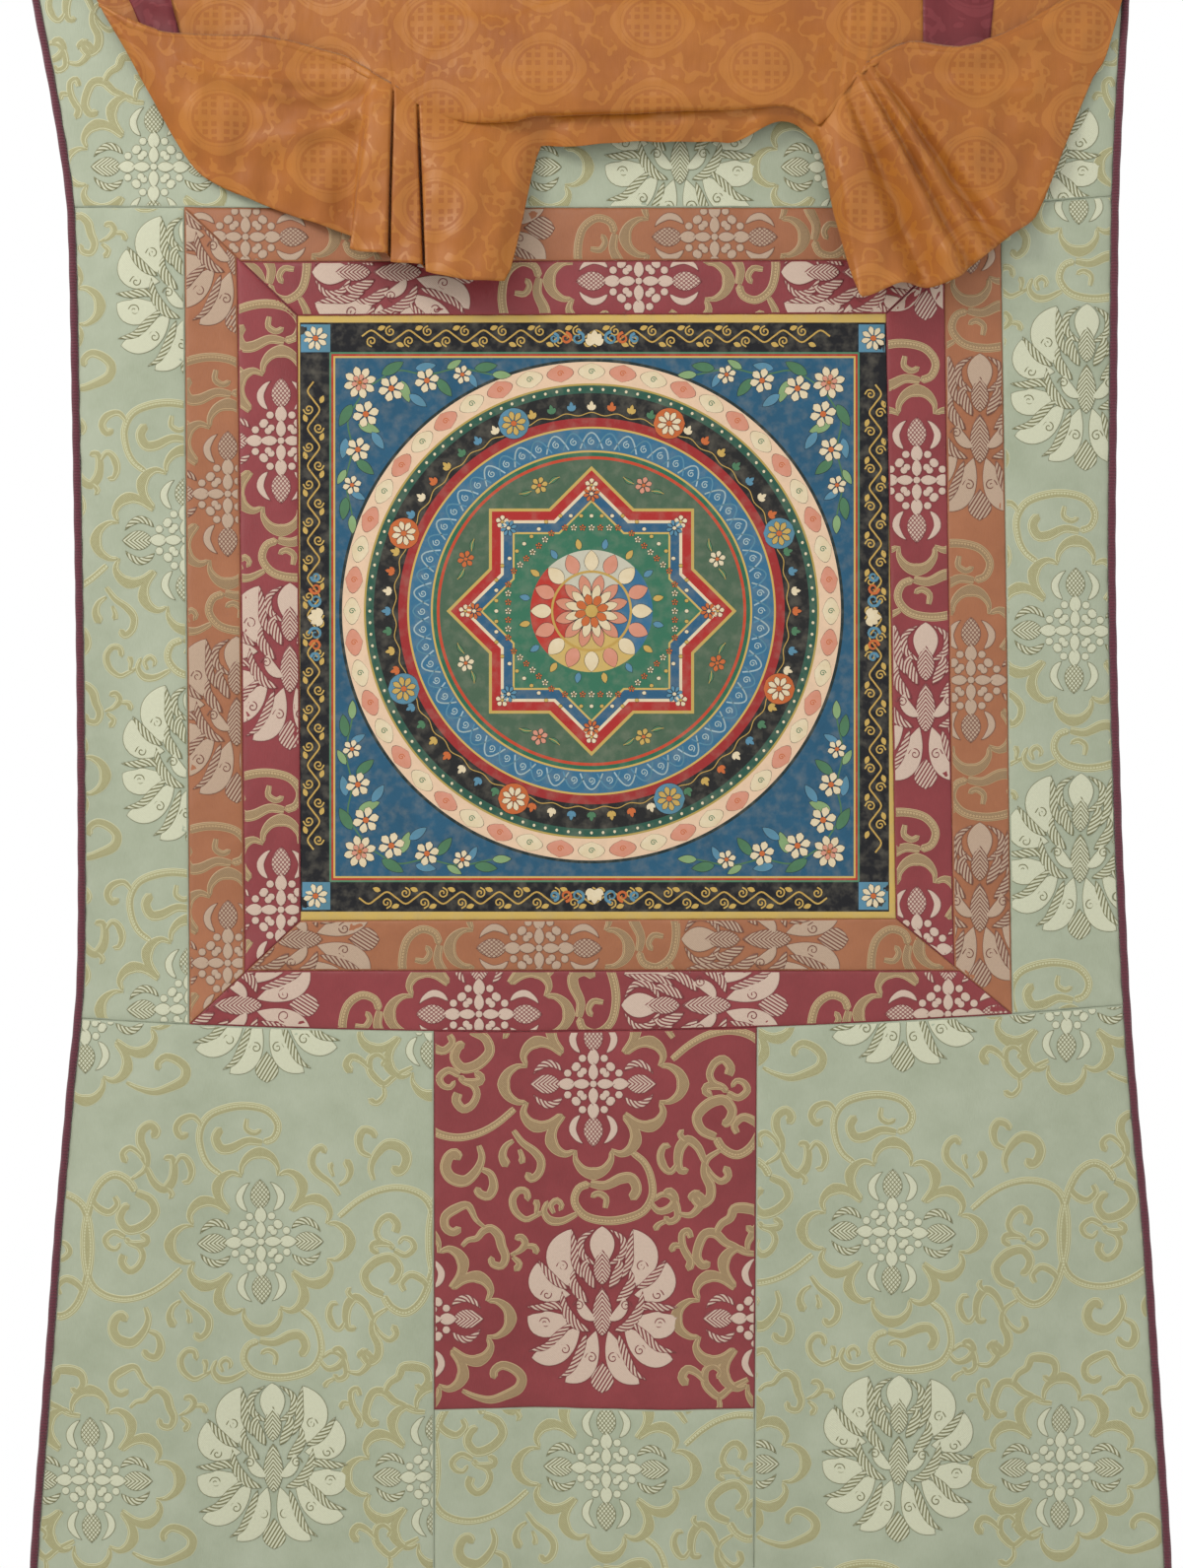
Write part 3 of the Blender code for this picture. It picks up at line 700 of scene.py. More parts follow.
def repeats_over(panel, arrays):
    """All strokes of the repeats that reach a panel, laid with its turn and its cut."""
    points, faces, stroke, paint = arrays
    x0, x1, z0, z1 = panel_reach(panel)
    turn = math.radians(panel.turn)
    c, s = math.cos(turn), math.sin(turn)
    number = paint[:, 3].astype(int)
    order = np.unique(number)
    wide, high = REPEAT_WIDE * CHART_SQUARE, REPEAT_HIGH * CHART_SQUARE
    out, total = ([], [], [], []), 0
    reach = int(math.ceil(max(x1 - x0, z1 - z0) / wide)) + 3
    for i in range(-reach, reach + 1):
        for j in range(-reach, reach + 1):
            px, pz = points[:, 0] + i * wide, points[:, 2] + j * high
            x, z = panel.medallion[0] + px * c - pz * s, panel.medallion[1] + px * s + pz * c
            if x.max() < x0 or x.min() > x1 or z.max() < z0 or z.min() > z1:
                continue
            inside = (x > x0) & (x < x1) & (z > z0) & (z < z1)
            kept = np.isin(number, order[np.isin(order, number[inside])])
            if not kept.any():
                continue
            renumber = np.cumsum(kept) - 1
            out[0].append(np.stack([x, points[:, 1], z], axis=1)[kept])
            out[1].append(renumber[faces[kept[faces[:, 0]]]] + total)
            out[2].append(stroke[kept])
            out[3].append(paint[kept])
            total += kept.sum()
    return [np.concatenate(part) for part in out]


def panel_reach(panel):
    """The box round a panel: its least and greatest x, and its least and greatest z."""
    z0, z1 = 0.0, -LENGTH
    for _ in range(4):
        x0, x1 = panel.left(np.array([z0, z1])).min(), panel.right(np.array([z0, z1])).max()
        span = np.linspace(x0, x1, 40)
        z0, z1 = panel.low(span).min(), panel.up(span).max()
    z = np.linspace(z0, z1, 40)
    return panel.left(z).min(), panel.right(z).max(), z0, z1


def trim(mesh, panel, inset):
    """Cuts strokes off at a panel's four lines; each line is made straight for its cut."""
    made = bmesh.new()
    made.from_mesh(mesh)
    sides = ((0, panel.left, -1), (0, panel.right, 1), (2, panel.up, 1), (2, panel.low, -1))
    for axis, line, way in sides:
        other = 2 - axis
        places = line(np.array([v.co[other] for v in made.verts]))
        for v, place in zip(made.verts, places):
            v.co[axis] -= place + way * -inset
        no = [0.0, 0.0, 0.0]
        no[axis] = float(way)
        bmesh.ops.bisect_plane(
            made,
            geom=made.verts[:] + made.edges[:] + made.faces[:],
            dist=1e-7,
            plane_co=(0, 0, 0),
            plane_no=no,
            clear_outer=True,
        )
        places = line(np.array([v.co[other] for v in made.verts]))
        for v, place in zip(made.verts, places):
            v.co[axis] += place + way * -inset
    loose = [v for v in made.verts if not v.link_faces]
    bmesh.ops.delete(made, geom=loose, context="VERTS")
    made.to_mesh(mesh)
    made.free()


def lay_on(mesh, tree, reach):
    """Lays flat strokes on a sheet: each point keeps its own height over it."""
    count = len(mesh.vertices)
    points = np.empty(count * 3, dtype=np.float32)
    mesh.vertices.foreach_get("co", points)
    points = points.reshape(-1, 3)
    fall_back = -relief(points[:, 0], points[:, 2])
    for k, (x, height, z) in enumerate(points):
        hit = tree.ray_cast(Vector((x, -reach, z)), Vector((0, 1, 0)))[0]
        points[k, 1] = height + (hit.y if hit else fall_back[k])
    mesh.vertices.foreach_set("co", points.ravel())
    mesh.polygons.foreach_set("use_smooth", np.ones(len(mesh.polygons), dtype=bool))
    mesh.update()


# ---------------------------------------------------------------- sheets


def steps_along(length, fine, near=(0.0, 0.0006, 0.0016, 0.0032)):
    """Places along a panel, close together at its two seams and even between them."""
    near = np.array(near)
    middle = np.linspace(near[-1], length - near[-1], max(2, int(round((length - 2 * near[-1]) / fine))) + 1)
    return np.concatenate([near[:-1], middle, length - near[:-1][::-1]]) / length


def sheet_object(name, columns, rows, place, materials, thickness):
    """A smooth sheet from a grid: place() gives every point from its column's and row's share."""
    made = bmesh.new()
    last_column, last_row = len(columns) - 1, len(rows) - 1
    bmesh.ops.create_grid(made, x_segments=last_column, y_segments=last_row, size=0.5)
    mesh = bpy.data.meshes.new(name)
    made.to_mesh(mesh)
    made.free()
    flat = np.empty(len(mesh.vertices) * 3, dtype=np.float32)
    mesh.vertices.foreach_get("co", flat)
    flat = flat.reshape(-1, 3)
    column = np.rint((flat[:, 0] + 0.5) * last_column).astype(int)
    row = np.rint((0.5 - flat[:, 1]) * last_row).astype(int)
    mesh.vertices.foreach_set("co", place(columns[column], rows[row], column, row).astype(np.float32).ravel())
    mesh.polygons.foreach_set("use_smooth", np.ones(len(mesh.polygons), dtype=bool))
    mesh.update()
    piece = linked(name, mesh)
    for material in materials:
        mesh.materials.append(material)
    if thickness:
        solid = piece.modifiers.new("thickness", "SOLIDIFY")
        solid.thickness, solid.offset = thickness, -1
        solid.material_offset = len(materials) - 1
    return piece


SEAM_DIP = 0.0009  # how far a panel's edge turns back into its seam
PANEL_GRID = 0.0045  # between the points of a panel's sheet
STROKE_INSET = SEAM / 2 + 0.0007  # strokes stop this far short of a panel's seams
RAY_REACH = 0.2  # how far in front of the cloth the rays that lay strokes on it start


def panel_points(panel, across, down):
    x0, x1, z0, z1 = panel_reach(panel)
    x, z = np.full(across.shape, (x0 + x1) / 2), np.full(across.shape, (z0 + z1) / 2)
    for _ in range(14):
        left, right = panel.left(z), panel.right(z)
        x = left + (right - left) * across
        up, low = panel.up(x), panel.low(x)
        z = up + (low - up) * down
    edge = np.minimum(np.minimum(x - left, right - x), np.minimum(up - z, z - low))
    dip = SEAM_DIP * np.exp(-edge / 0.0011)
    pucker = 0.00022 * np.exp(-edge / 0.006) * (np.sin(x * 430 + z * 390) + np.sin(x * 260 - z * 310))
    return np.stack([x, dip - pucker - relief(x, z), z], axis=1)


def panel_sheet(panel, materials):
    x0, x1, z0, z1 = panel_reach(panel)
    columns, rows = steps_along(x1 - x0, PANEL_GRID), steps_along(z1 - z0, PANEL_GRID)
    place = lambda across, down, column, row: panel_points(panel, across, down)
    piece = sheet_object(panel.name + "_cloth", columns, rows, place, materials, CLOTH)
    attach(piece, "root")
    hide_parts(panel.name)
    return piece


def lay_strokes(name, panel, piece, arrays, finish):
    """Strokes cut to a panel and laid on its sheet."""
    mesh = mesh_from(name, *arrays)
    trim(mesh, panel, STROKE_INSET)
    lay_on(mesh, BVHTree.FromObject(piece, bpy.context.evaluated_depsgraph_get()), RAY_REACH)
    strokes = linked(name, mesh)
    mesh.materials.append(finish)
    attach(strokes, "root")
    return strokes


def make_panels(arrays):
    finishes = {}
    for panel in panel_table():
        if panel.cloth == "canvas":
            continue
        level_grain = panel.turn == 90
        key = panel.cloth, level_grain
        if key not in finishes:
            word = panel.cloth + ("_level" if level_grain else "")
            grain = 90 if level_grain else 0
            finishes[key] = (
                satin_ground(word + "_satin", panel.cloth, grain),
                cloth_reverse(word + "_reverse", panel.cloth, grain),
            )
        if ("figures", panel.cloth) not in finishes:
            finishes["figures", panel.cloth] = woven_figures(panel.cloth + "_figures", panel.cloth)
        piece = panel_sheet(panel, finishes[key])
        panel.cloth + "_brocade"
        finish = finishes["figures", panel.cloth]
        figures = lay_strokes(panel.name + "_figures", panel, piece, repeats_over(panel, arrays), finish)
        panel.cloth + "_brocade"


# ---------------------------------------------------------------- painting

PAINTED_MIDDLE = (-0.0037, -0.3891)
BRUSH = 0.000533  # one unit of the painting's drawing
BORDER_MIDDLE = (3, -6)  # the middle of the border, from the middle of the disc
# Rings of the disc from its outside in: outer radius and paint.
DISC = [
    (256, (0.010, 0.020, 0.020)),
    (253, (0.620, 0.440, 0.300)),
    (231, (0.350, 0.250, 0.060)),
    (229, (0.020, 0.075, 0.050)),
    (221, (0.012, 0.012, 0.012)),
    (196, (0.260, 0.020, 0.020)),
    (187, (0.480, 0.320, 0.080)),
    (185, (0.030, 0.120, 0.210)),
    (163, (0.480, 0.320, 0.080)),
    (161, (0.020, 0.110, 0.060)),
    (157, (0.430, 0.050, 0.020)),
    (154, (0.055, 0.100, 0.060)),
]
# Borders of the eight-pointed star inside it, from its outside in.
STAR = [
    (104, (0.430, 0.300, 0.080)),
    (101, (0.330, 0.020, 0.018)),
    (92, (0.600, 0.500, 0.340)),
    (89, (0.020, 0.085, 0.160)),
    (80, (0.480, 0.330, 0.090)),
    (78, (0.030, 0.130, 0.075)),
]
FIELD_BLUE = (0.016, 0.075, 0.135)
CREAM, PINK, GOLD = (0.640, 0.560, 0.400), (0.560, 0.250, 0.180), (0.480, 0.330, 0.090)
CORAL, LEAF = (0.480, 0.120, 0.030), (0.060, 0.170, 0.090)
SKY, INK = (0.080, 0.220, 0.340), (0.008, 0.008, 0.010)


def painted_ground():
    """Distemper on canvas: the flat fields, rings and frame lines that the brushwork lies on."""
    f = Finish("distemper", Specular_IOR_Level=0.25)
    x, _, z = f.split(f.place())
    x, z = (x - PAINTED_MIDDLE[0]) / BRUSH, (z - PAINTED_MIDDLE[1]) / BRUSH
    away = (x * x + z * z).sum("SQRT")
    reach = abs(x - 3.0).most(abs(z + 6.0))  # from the middle of the border
    wash = f.noise(f.place(), 45.0, 5.0)
    colour = f.mix(wash, tuple(c * 0.72 for c in FIELD_BLUE), tuple(c * 1.3 for c in FIELD_BLUE))
    for radius, paint in DISC:
        colour = f.mix(away < radius, colour, paint)
    star = (abs(x).most(abs(z))).least((abs(x) + abs(z)) * 0.7071)
    inside = away < 154.0
    for radius, paint in STAR:
        colour = f.mix((star < radius) * inside, colour, paint)
    quarter = f.mix(x > z, (0.380, 0.030, 0.020), (0.480, 0.330, 0.100))
    other = f.mix(x > z, (0.450, 0.430, 0.340), (0.030, 0.120, 0.220))
    quarters = f.mix(x + z > 0.0, quarter, other)
    colour = f.mix(away < 62.0, colour, quarters)
    for limit, paint in ((263, GOLD), (265, (0.350, 0.020, 0.015)), (267, LEAF), (269, INK), (299, GOLD)):
        colour = f.mix(reach > float(limit), colour, paint)
    grain = f.noise(f.place(), 900.0, 2.0)
    colour = f.mix(f.noise(f.place(), 160.0, 4.0).ramp(0.45, 0.8) * 0.25, colour, (0.30, 0.27, 0.20))
    return f.finish(Base_Color=colour, Roughness=grain * 0.2 + 0.62, Normal=f.bump(grain + wash, 0.0002, 0.4))


def brushwork():
    """Opaque paint in each stroke's own colour, shaded along it and outlined dark."""
    f = Finish("brushwork", Specular_IOR_Level=0.3)
    offset, half, along, style = f.marks()
    paint = f.node("ShaderNodeAttribute", {"attribute_name": "paint"})
    tone = f.noise(f.place(), 300.0, 3.0)
    shaded = f.mix(tone * 0.5 + along.ramp(0.0, 14.0) * 0.3, paint, (0.75, 0.62, 0.42), "MULTIPLY")
    edge = (half - abs(offset) < 0.24) * (style > 1.5) * (style < LINE_STYLE - 0.5)
    return f.finish(Base_Color=f.mix(edge, shaded, INK), Roughness=tone * 0.2 + 0.55)


def canvas_reverse():
    f = Finish("canvas_reverse")
    weave = f.node("ShaderNodeTexWave", {"bands_direction": "X"}, {0: f.place(), 1: 420.0, 2: 0.4})
    cross = f.node("ShaderNodeTexWave", {"bands_direction": "Z"}, {0: f.place(), 1: 420.0, 2: 0.4})
    colour = f.mix(f.noise(f.place(), 30.0) * 0.6, (0.55, 0.50, 0.38), (0.42, 0.37, 0.27))
    normal = f.bump(weave + cross, 0.0003, 0.5)
    return f.finish(Base_Color=colour, Roughness=cross * 0.1 + 0.75, Normal=normal)


def at_angle(radius, degrees):
    return radius * math.cos(math.radians(degrees)), radius * math.sin(math.radians(degrees))


def paint_blossom(chart, x, z, size, petals, colour, heart, lift=0.05):
    for k in range(petals):
        tip, root = at_angle(size, 360 * k / petals + 15), at_angle(size * 0.15, 360 * k / petals + 15)
        chart.petal(moved([root, tip], x, z), size * 3.9 / petals, lift, colour, 0.62)
    chart.bead(x, z, size * 0.24, PETAL_STYLE, lift + 0.06, heart, crown=0.02)


def paint_leaf(chart, x, z, length, degrees, colour, lift=0.04):
    path = [(0, 0), at_angle(length * 0.55, degrees + 8), at_angle(length, degrees)]
    chart.petal(moved(path, x, z), length * 0.42, lift, colour)
    chart.line(moved(path, x, z), 0.7, lift + 0.06, GOLD)


def paint_disc(chart):
    """Rings of petals, pearls, buds with rosettes, and waves; then the star and the lotus within it."""
    for k in range(48):
        colour = (CREAM, PINK)[k % 2]
        path = [at_angle(234, 7.5 * k), at_angle(252, 7.5 * k)]
        chart.petal(path, 28, 0.04 + 0.01 * (k % 2), colour, 0.5)
        curl = spiral(*at_angle(243, 7.5 * k), 3.4)
        chart.line(curl, 0.8, 0.11, CORAL if k % 2 else LEAF)
    for k in range(120):
        chart.bead(*at_angle(225, 3 * k), 1.5, SCROLL_STYLE, 0.04, CREAM)
    for k in range(64):
        degrees = 360 / 64 * k
        near = min(abs((degrees - 22.5 - 45 * j + 180) % 360 - 180) for j in range(8))
        if near < 5.5:
            continue
        colour = (CORAL, CREAM, SKY, LEAF, GOLD)[k % 5]
        for tilt, length in ((-32, 8), (0, 11), (32, 8)):
            x, z = at_angle(203, degrees)
            dx, dz = at_angle(length, degrees + tilt)
            chart.petal([(x, z), (x + dx, z + dz)], 5, 0.05, colour, 0.55)
    wave = [at_angle(200 + 1.6 * math.cos(math.pi * k), 3.75 * k) for k in range(96)]
    chart.line(wave + wave[:1], 0.9, 0.03, GOLD)
    for k in range(8):
        x, z = at_angle(206, 45 * k + 22.5)
        chart.bead(x, z, 16, PETAL_STYLE, 0.08, CORAL if k % 2 else SKY, crown=0.0)
        paint_blossom(chart, x, z, 13, 8, CREAM if k % 2 else GOLD, CORAL, 0.14)
    for k in range(60):
        degrees = 6 * k
        arc = [at_angle(165 + 16 * math.sin(math.pi * j / 6), degrees - 4 + 8 * j / 6) for j in range(7)]
        chart.line(arc, 1.5, 0.04, (0.30, 0.42, 0.48) if k % 2 else SKY)
        curl = spiral(*at_angle(172, degrees), 4.0, start=math.radians(degrees))
        chart.line(curl, 1.0, 0.05, (0.34, 0.46, 0.50))
    for k in range(16):
        degrees = 22.5 * k
        x, z = at_angle(138 if k % 2 else 128, degrees)
        if k % 2:
            paint_blossom(chart, x, z, 9, 6, (CREAM, PINK, GOLD, CORAL)[k // 2 % 4], CORAL)
            paint_leaf(chart, *at_angle(136, degrees + 4), 13, degrees + 80, LEAF)
            paint_leaf(chart, *at_angle(136, degrees - 4), 13, degrees - 80, LEAF)
        else:
            paint_blossom(chart, x, z, 7, 5, CREAM, GOLD)
    for k in range(8):
        for j in range(-3, 4):
            corner = turned([(96.5, j * 10.5)], 45 * k)[0]
            chart.bead(*corner, 2.2, PETAL_STYLE, 0.05, (CREAM, GOLD)[j % 2])
            inner = turned([(84.5, j * 9.0)], 45 * k)[0]
            paint_blossom(chart, *inner, 3.6, 5, (CREAM, CORAL)[j % 2], GOLD, 0.04)
        paint_blossom(chart, *turned([(119, 0)], 45 * k)[0], 9, 8, (CORAL, SKY)[k % 2], CREAM)
    for k in range(16):
        path = [at_angle(40, 22.5 * k), at_angle(62, 22.5 * k)]
        chart.petal(path, 15, 0.05, (CREAM, PINK)[k % 2])
        path = [at_angle(63, 22.5 * k + 11), at_angle(75, 22.5 * k + 11)]
        chart.petal(path, 7, 0.04, (GOLD, SKY)[k % 2])
    chart.line([at_angle(40, 12 * k) for k in range(31)], 2.4, 0.09, GOLD)
    for ring, (radius, petals, colour) in enumerate(((38, 12, PINK), (28, 12, CREAM), (18, 8, CORAL))):
        paint_blossom(chart, 0, 0, radius, petals, colour, GOLD, 0.10 + 0.06 * ring)
    chart.bead(0, 0, 7, PETAL_STYLE, 0.36, GOLD)


def on_side(points, side):
    """A path of the border or the corners, on one of the painting's four sides."""
    return moved(turned(points, 90 * side), *BORDER_MIDDLE)


def paint_border(chart):
    """A gold vine on the black border, with corner rosettes and a lotus at the middle of each side."""
    for side in range(4):
        vine = [(-236 + 9.5 * k, 285 + 6.0 * math.sin(math.pi * k / 2)) for k in range(51)]
        chart.line(on_side(vine, side), 1.7, 0.04, GOLD)
        for k in range(24):
            x = -226 + 19.0 * k
            way = 1 if k % 2 else -1
            curl = spiral(x, 285 + 5 * way, 5.6, start=math.pi / 2 * way, way=way)
            chart.line(on_side(curl, side), 1.5, 0.05, GOLD)
            leaf = [(x + 6, 285 - 7 * way), (x + 14, 285 - 10 * way)]
            chart.add(on_side(leaf, side), petal_width(5), LINE_STYLE, 0.05, GOLD, crown=0.0)
        plate = on_side([(-283, 283)], side)[0]
        chart.add(moved([(-15, 0), (15, 0)], *plate), even_width(29), PETAL_STYLE, 0.08, SKY, crown=0.0)
        paint_blossom(chart, *plate, 13, 8, CREAM, CORAL, 0.14)
        for tilt in (-64, -32, 0, 32, 64):
            tip = at_angle(15 - abs(tilt) / 16, 90 + tilt)
            petal = [(0, 277), (tip[0], 277 + tip[1])]
            chart.petal(on_side(petal, side), 9, 0.12, CREAM)
        for way in (-1, 1):
            for k in range(3):
                curl = spiral(way * (17 + 12 * k), 283, 7.0 - k, start=math.pi / 2, way=way)
                placed = on_side(curl, side)
                width, colour = scroll_width(3.2, 2.6, 1.2), (SKY, CORAL)[k % 2]
                chart.add(placed, width, SCROLL_STYLE, 0.12, colour, crown=0.0)


# The leaves of half a corner's spray: place of the root, the way it points in degrees, and its length.
LEAVES = [
    (216, 246, 150, 26),
    (196, 240, 250, 24),
    (182, 252, 170, 22),
    (160, 242, 230, 24),
    (150, 252, 150, 18),
    (128, 248, 240, 18),
    (122, 252, 172, 24),
    (104, 246, 182, 20),
    (188, 226, 215, 22),
]


def paint_corners(chart):
    """A spray of flowers and leaves in each corner of the blue field."""
    for quarter in range(4):
        for flip in (1, -1):
            stem = [(226, 236), (200, 250), (170, 246), (138, 252), (104, 246)]
            path = stem if flip == 1 else [(z, x) for x, z in stem]
            chart.line(on_side(path, quarter), 1.6, 0.03, LEAF)
            for k, (x, z, degrees, size) in enumerate(LEAVES):
                base, ahead = (x, z), at_angle(size, degrees)
                tip = (x + ahead[0], z + ahead[1])
                pair = [base, tip] if flip == 1 else [base[::-1], tip[::-1]]
                colour = (LEAF, (0.20, 0.33, 0.16), SKY)[k % 3]
                placed = on_side(pair, quarter)
                chart.petal(placed, size * 0.44, 0.04 + 0.01 * k, colour)
            for x, z, size in ((206, 232, 14), (170, 240, 13), (134, 246, 10)):
                spot = (x, z) if flip == 1 else (z, x)
                spot = on_side([spot], quarter)[0]
                paint_blossom(chart, *spot, size, 6, CREAM, CORAL, 0.16)
        spot = on_side([(238, 238)], quarter)[0]
        paint_blossom(chart, *spot, 17, 8, CREAM, GOLD, 0.20)
        paint_blossom(chart, *spot, 9, 6, PINK, CORAL, 0.30)


def make_painting():
    panel = next(p for p in panel_table() if p.cloth == "canvas")
    piece = panel_sheet(panel, (painted_ground(), canvas_reverse()))
    chart = Chart(BRUSH, 3.0)
    paint_disc(chart)
    paint_border(chart)
    paint_corners(chart)
    points, faces, stroke, paint = mesh_arrays(chart.made)
    points = points + np.array([PAINTED_MIDDLE[0], 0.0, PAINTED_MIDDLE[1]])
    arrays = (points, faces, stroke, paint)
    marks = lay_strokes("painting_brushwork", panel, piece, arrays, brushwork())


# ---------------------------------------------------------------- veil, ribbons and bindings

FIRST_RISE = 0.0022
VEIL_CLEAR = 0.0038
SILK = 0.0005
VEIL_WIDE = 0.640  # the veil laid flat: its width along the top edge,
VEIL_CUT = 0.85  # and the share of that rectangle which hangs below the edge
LAP = 0.0045  # how far the silk doubles back on itself at the fold

Line = namedtuple("Line", "top_x fold_x fold_z end_x end_z above below middle end")
VEIL = [
    Line(-0.3043, -0.2686, -0.0629, -0.2660, -0.0682, 0.006, 0.008, 0.007, 0.006),
    Line(-0.2904, -0.2585, -0.0688, -0.2553, -0.0863, 0.006, 0.011, 0.009, 0.005),
    Line(-0.2755, -0.2489, -0.0736, -0.2436, -0.1077, 0.006, 0.013, 0.010, 0.005),
    Line(-0.2436, -0.2286, -0.0800, -0.2153, -0.1530, 0.006, 0.014, 0.011, 0.005),
    Line(-0.1956, -0.1839, -0.0810, -0.1791, -0.1706, 0.007, 0.014, 0.010, 0.005),
    Line(-0.1476, -0.1359, -0.0922, -0.1343, -0.1866, 0.010, 0.013, 0.008, 0.005),
    Line(-0.1360, -0.1255, -0.0981, -0.1330, -0.1872, 0.012, 0.013, 0.008, 0.006),
    Line(-0.1330, -0.1189, -0.1023, -0.1327, -0.1967, 0.013, 0.014, 0.019, 0.021),
    Line(-0.1250, -0.1110, -0.1065, -0.1130, -0.1996, 0.014, 0.014, 0.022, 0.023),
    Line(-0.1235, -0.1098, -0.1073, -0.1115, -0.2004, 0.014, 0.013, 0.013, 0.013),
    Line(-0.1215, -0.1088, -0.1079, -0.1107, -0.2041, 0.014, 0.014, 0.020, 0.022),
    Line(-0.1110, -0.0983, -0.1134, -0.0940, -0.2057, 0.015, 0.014, 0.020, 0.021),
    Line(-0.1095, -0.0970, -0.1139, -0.0928, -0.2060, 0.015, 0.013, 0.011, 0.011),
    Line(-0.1075, -0.0957, -0.1145, -0.0917, -0.2100, 0.015, 0.014, 0.021, 0.025),
    Line(-0.0960, -0.0837, -0.1204, -0.0677, -0.2148, 0.016, 0.014, 0.025, 0.027),
    Line(-0.0820, -0.0698, -0.1240, -0.0501, -0.2143, 0.017, 0.013, 0.022, 0.022),
    Line(-0.0700, -0.0554, -0.1242, -0.0421, -0.1866, 0.018, 0.012, 0.014, 0.013),
    Line(-0.0500, -0.0357, -0.1226, -0.0309, -0.1386, 0.019, 0.010, 0.009, 0.007),
    Line(-0.0230, -0.0171, -0.1220, -0.0160, -0.1404, 0.019, 0.011, 0.011, 0.009),
    Line(0.0180, 0.0176, -0.1210, 0.0176, -0.1375, 0.019, 0.012, 0.012, 0.010),
    Line(0.0700, 0.0698, -0.1190, 0.0698, -0.1375, 0.018, 0.012, 0.012, 0.010),
    Line(0.1020, 0.0991, -0.1190, 0.0991, -0.1263, 0.017, 0.012, 0.011, 0.009),
    Line(0.1180, 0.1146, -0.1244, 0.1178, -0.1386, 0.016, 0.011, 0.010, 0.007),
    Line(0.1240, 0.1183, -0.1247, 0.1263, -0.1770, 0.016, 0.012, 0.015, 0.014),
    Line(0.1300, 0.1215, -0.1221, 0.1359, -0.2132, 0.016, 0.013, 0.022, 0.022),
    Line(0.1345, 0.1253, -0.1183, 0.1402, -0.2234, 0.016, 0.014, 0.025, 0.026),
    Line(0.1400, 0.1295, -0.1109, 0.1615, -0.2153, 0.015, 0.014, 0.021, 0.020),
    Line(0.1440, 0.1327, -0.1066, 0.1775, -0.2164, 0.015, 0.013, 0.011, 0.012),
    Line(0.1490, 0.1380, -0.1002, 0.1924, -0.2121, 0.014, 0.014, 0.022, 0.022),
    Line(0.1520, 0.1407, -0.0981, 0.1988, -0.2057, 0.014, 0.013, 0.012, 0.011),
    Line(0.1560, 0.1434, -0.0959, 0.2063, -0.2004, 0.014, 0.014, 0.020, 0.018),
    Line(0.1600, 0.1460, -0.0938, 0.2148, -0.1930, 0.013, 0.013, 0.010, 0.008),
    Line(0.1650, 0.1498, -0.0917, 0.2217, -0.1882, 0.013, 0.014, 0.017, 0.014),
    Line(0.1800, 0.1668, -0.0842, 0.2356, -0.1770, 0.010, 0.013, 0.010, 0.006),
    Line(0.2060, 0.1945, -0.0874, 0.2500, -0.1423, 0.007, 0.013, 0.010, 0.006),
    Line(0.2300, 0.2255, -0.0752, 0.2670, -0.1013, 0.006, 0.012, 0.009, 0.005),
    Line(0.2560, 0.2446, -0.0640, 0.2734, -0.0911, 0.006, 0.010, 0.008, 0.005),
    Line(0.2730, 0.2628, -0.0554, 0.2787, -0.0730, 0.006, 0.009, 0.007, 0.005),
    Line(0.2830, 0.2800, -0.0500, 0.2830, -0.0560, 0.006, 0.007, 0.006, 0.005),
]

# Creases of the silk that hang between two points: its ends, how far it sags, half its width, its rise.
Crease = namedtuple("Crease", "x0 z0 x1 z1 sag width rise")
CREASES = [
    Crease(-0.235, -0.094, -0.113, -0.101, 0.008, 0.005, 0.0040),
    Crease(-0.190, -0.138, -0.105, -0.110, 0.006, 0.006, 0.0045),
    Crease(-0.208, -0.103, -0.113, -0.101, 0.012, 0.003, 0.0024),
    Crease(-0.150, -0.060, -0.030, -0.092, -0.010, 0.008, 0.0030),
    Crease(-0.120, -0.030, 0.060, -0.050, 0.012, 0.010, 0.0016),
    Crease(-0.020, -0.070, 0.150, -0.080, 0.014, 0.009, 0.0030),
    Crease(-0.090, -0.100, 0.110, -0.096, 0.010, 0.004, 0.0022),
    Crease(-0.060, -0.113, 0.120, -0.110, 0.004, 0.003, 0.0020),
    Crease(-0.285, -0.040, -0.200, -0.066, 0.006, 0.005, 0.0016),
    Crease(0.160, -0.092, 0.262, -0.066, 0.010, 0.006, 0.0030),
    Crease(0.172, -0.100, 0.262, -0.100, 0.012, 0.005, 0.0024),
    Crease(0.176, -0.120, 0.248, -0.130, 0.008, 0.004, 0.0022),
]

UPPER_SHARE, LAP_SHARE = 0.42, 0.08


def veil_table(across, name):
    """One column of the veil's table as a smooth curve, read at many places counted in lines."""
    value = np.array([getattr(line, name) for line in VEIL])
    k = np.clip(across.astype(int), 0, len(VEIL) - 2)
    t = across - k
    start, end = value[k], value[k + 1]
    leave = (end - value[np.maximum(k - 1, 0)]) / 2
    arrive = (value[np.minimum(k + 2, len(VEIL) - 1)] - start) / 2
    limit = 1.5 * np.abs(end - start) + 0.0004
    leave, arrive = np.clip(leave, -limit, limit), np.clip(arrive, -limit, limit)
    bend = start + t * leave + t**2 * (3 * (end - start) - 2 * leave - arrive)
    return bend + t**3 * (2 * (start - end) + leave + arrive)


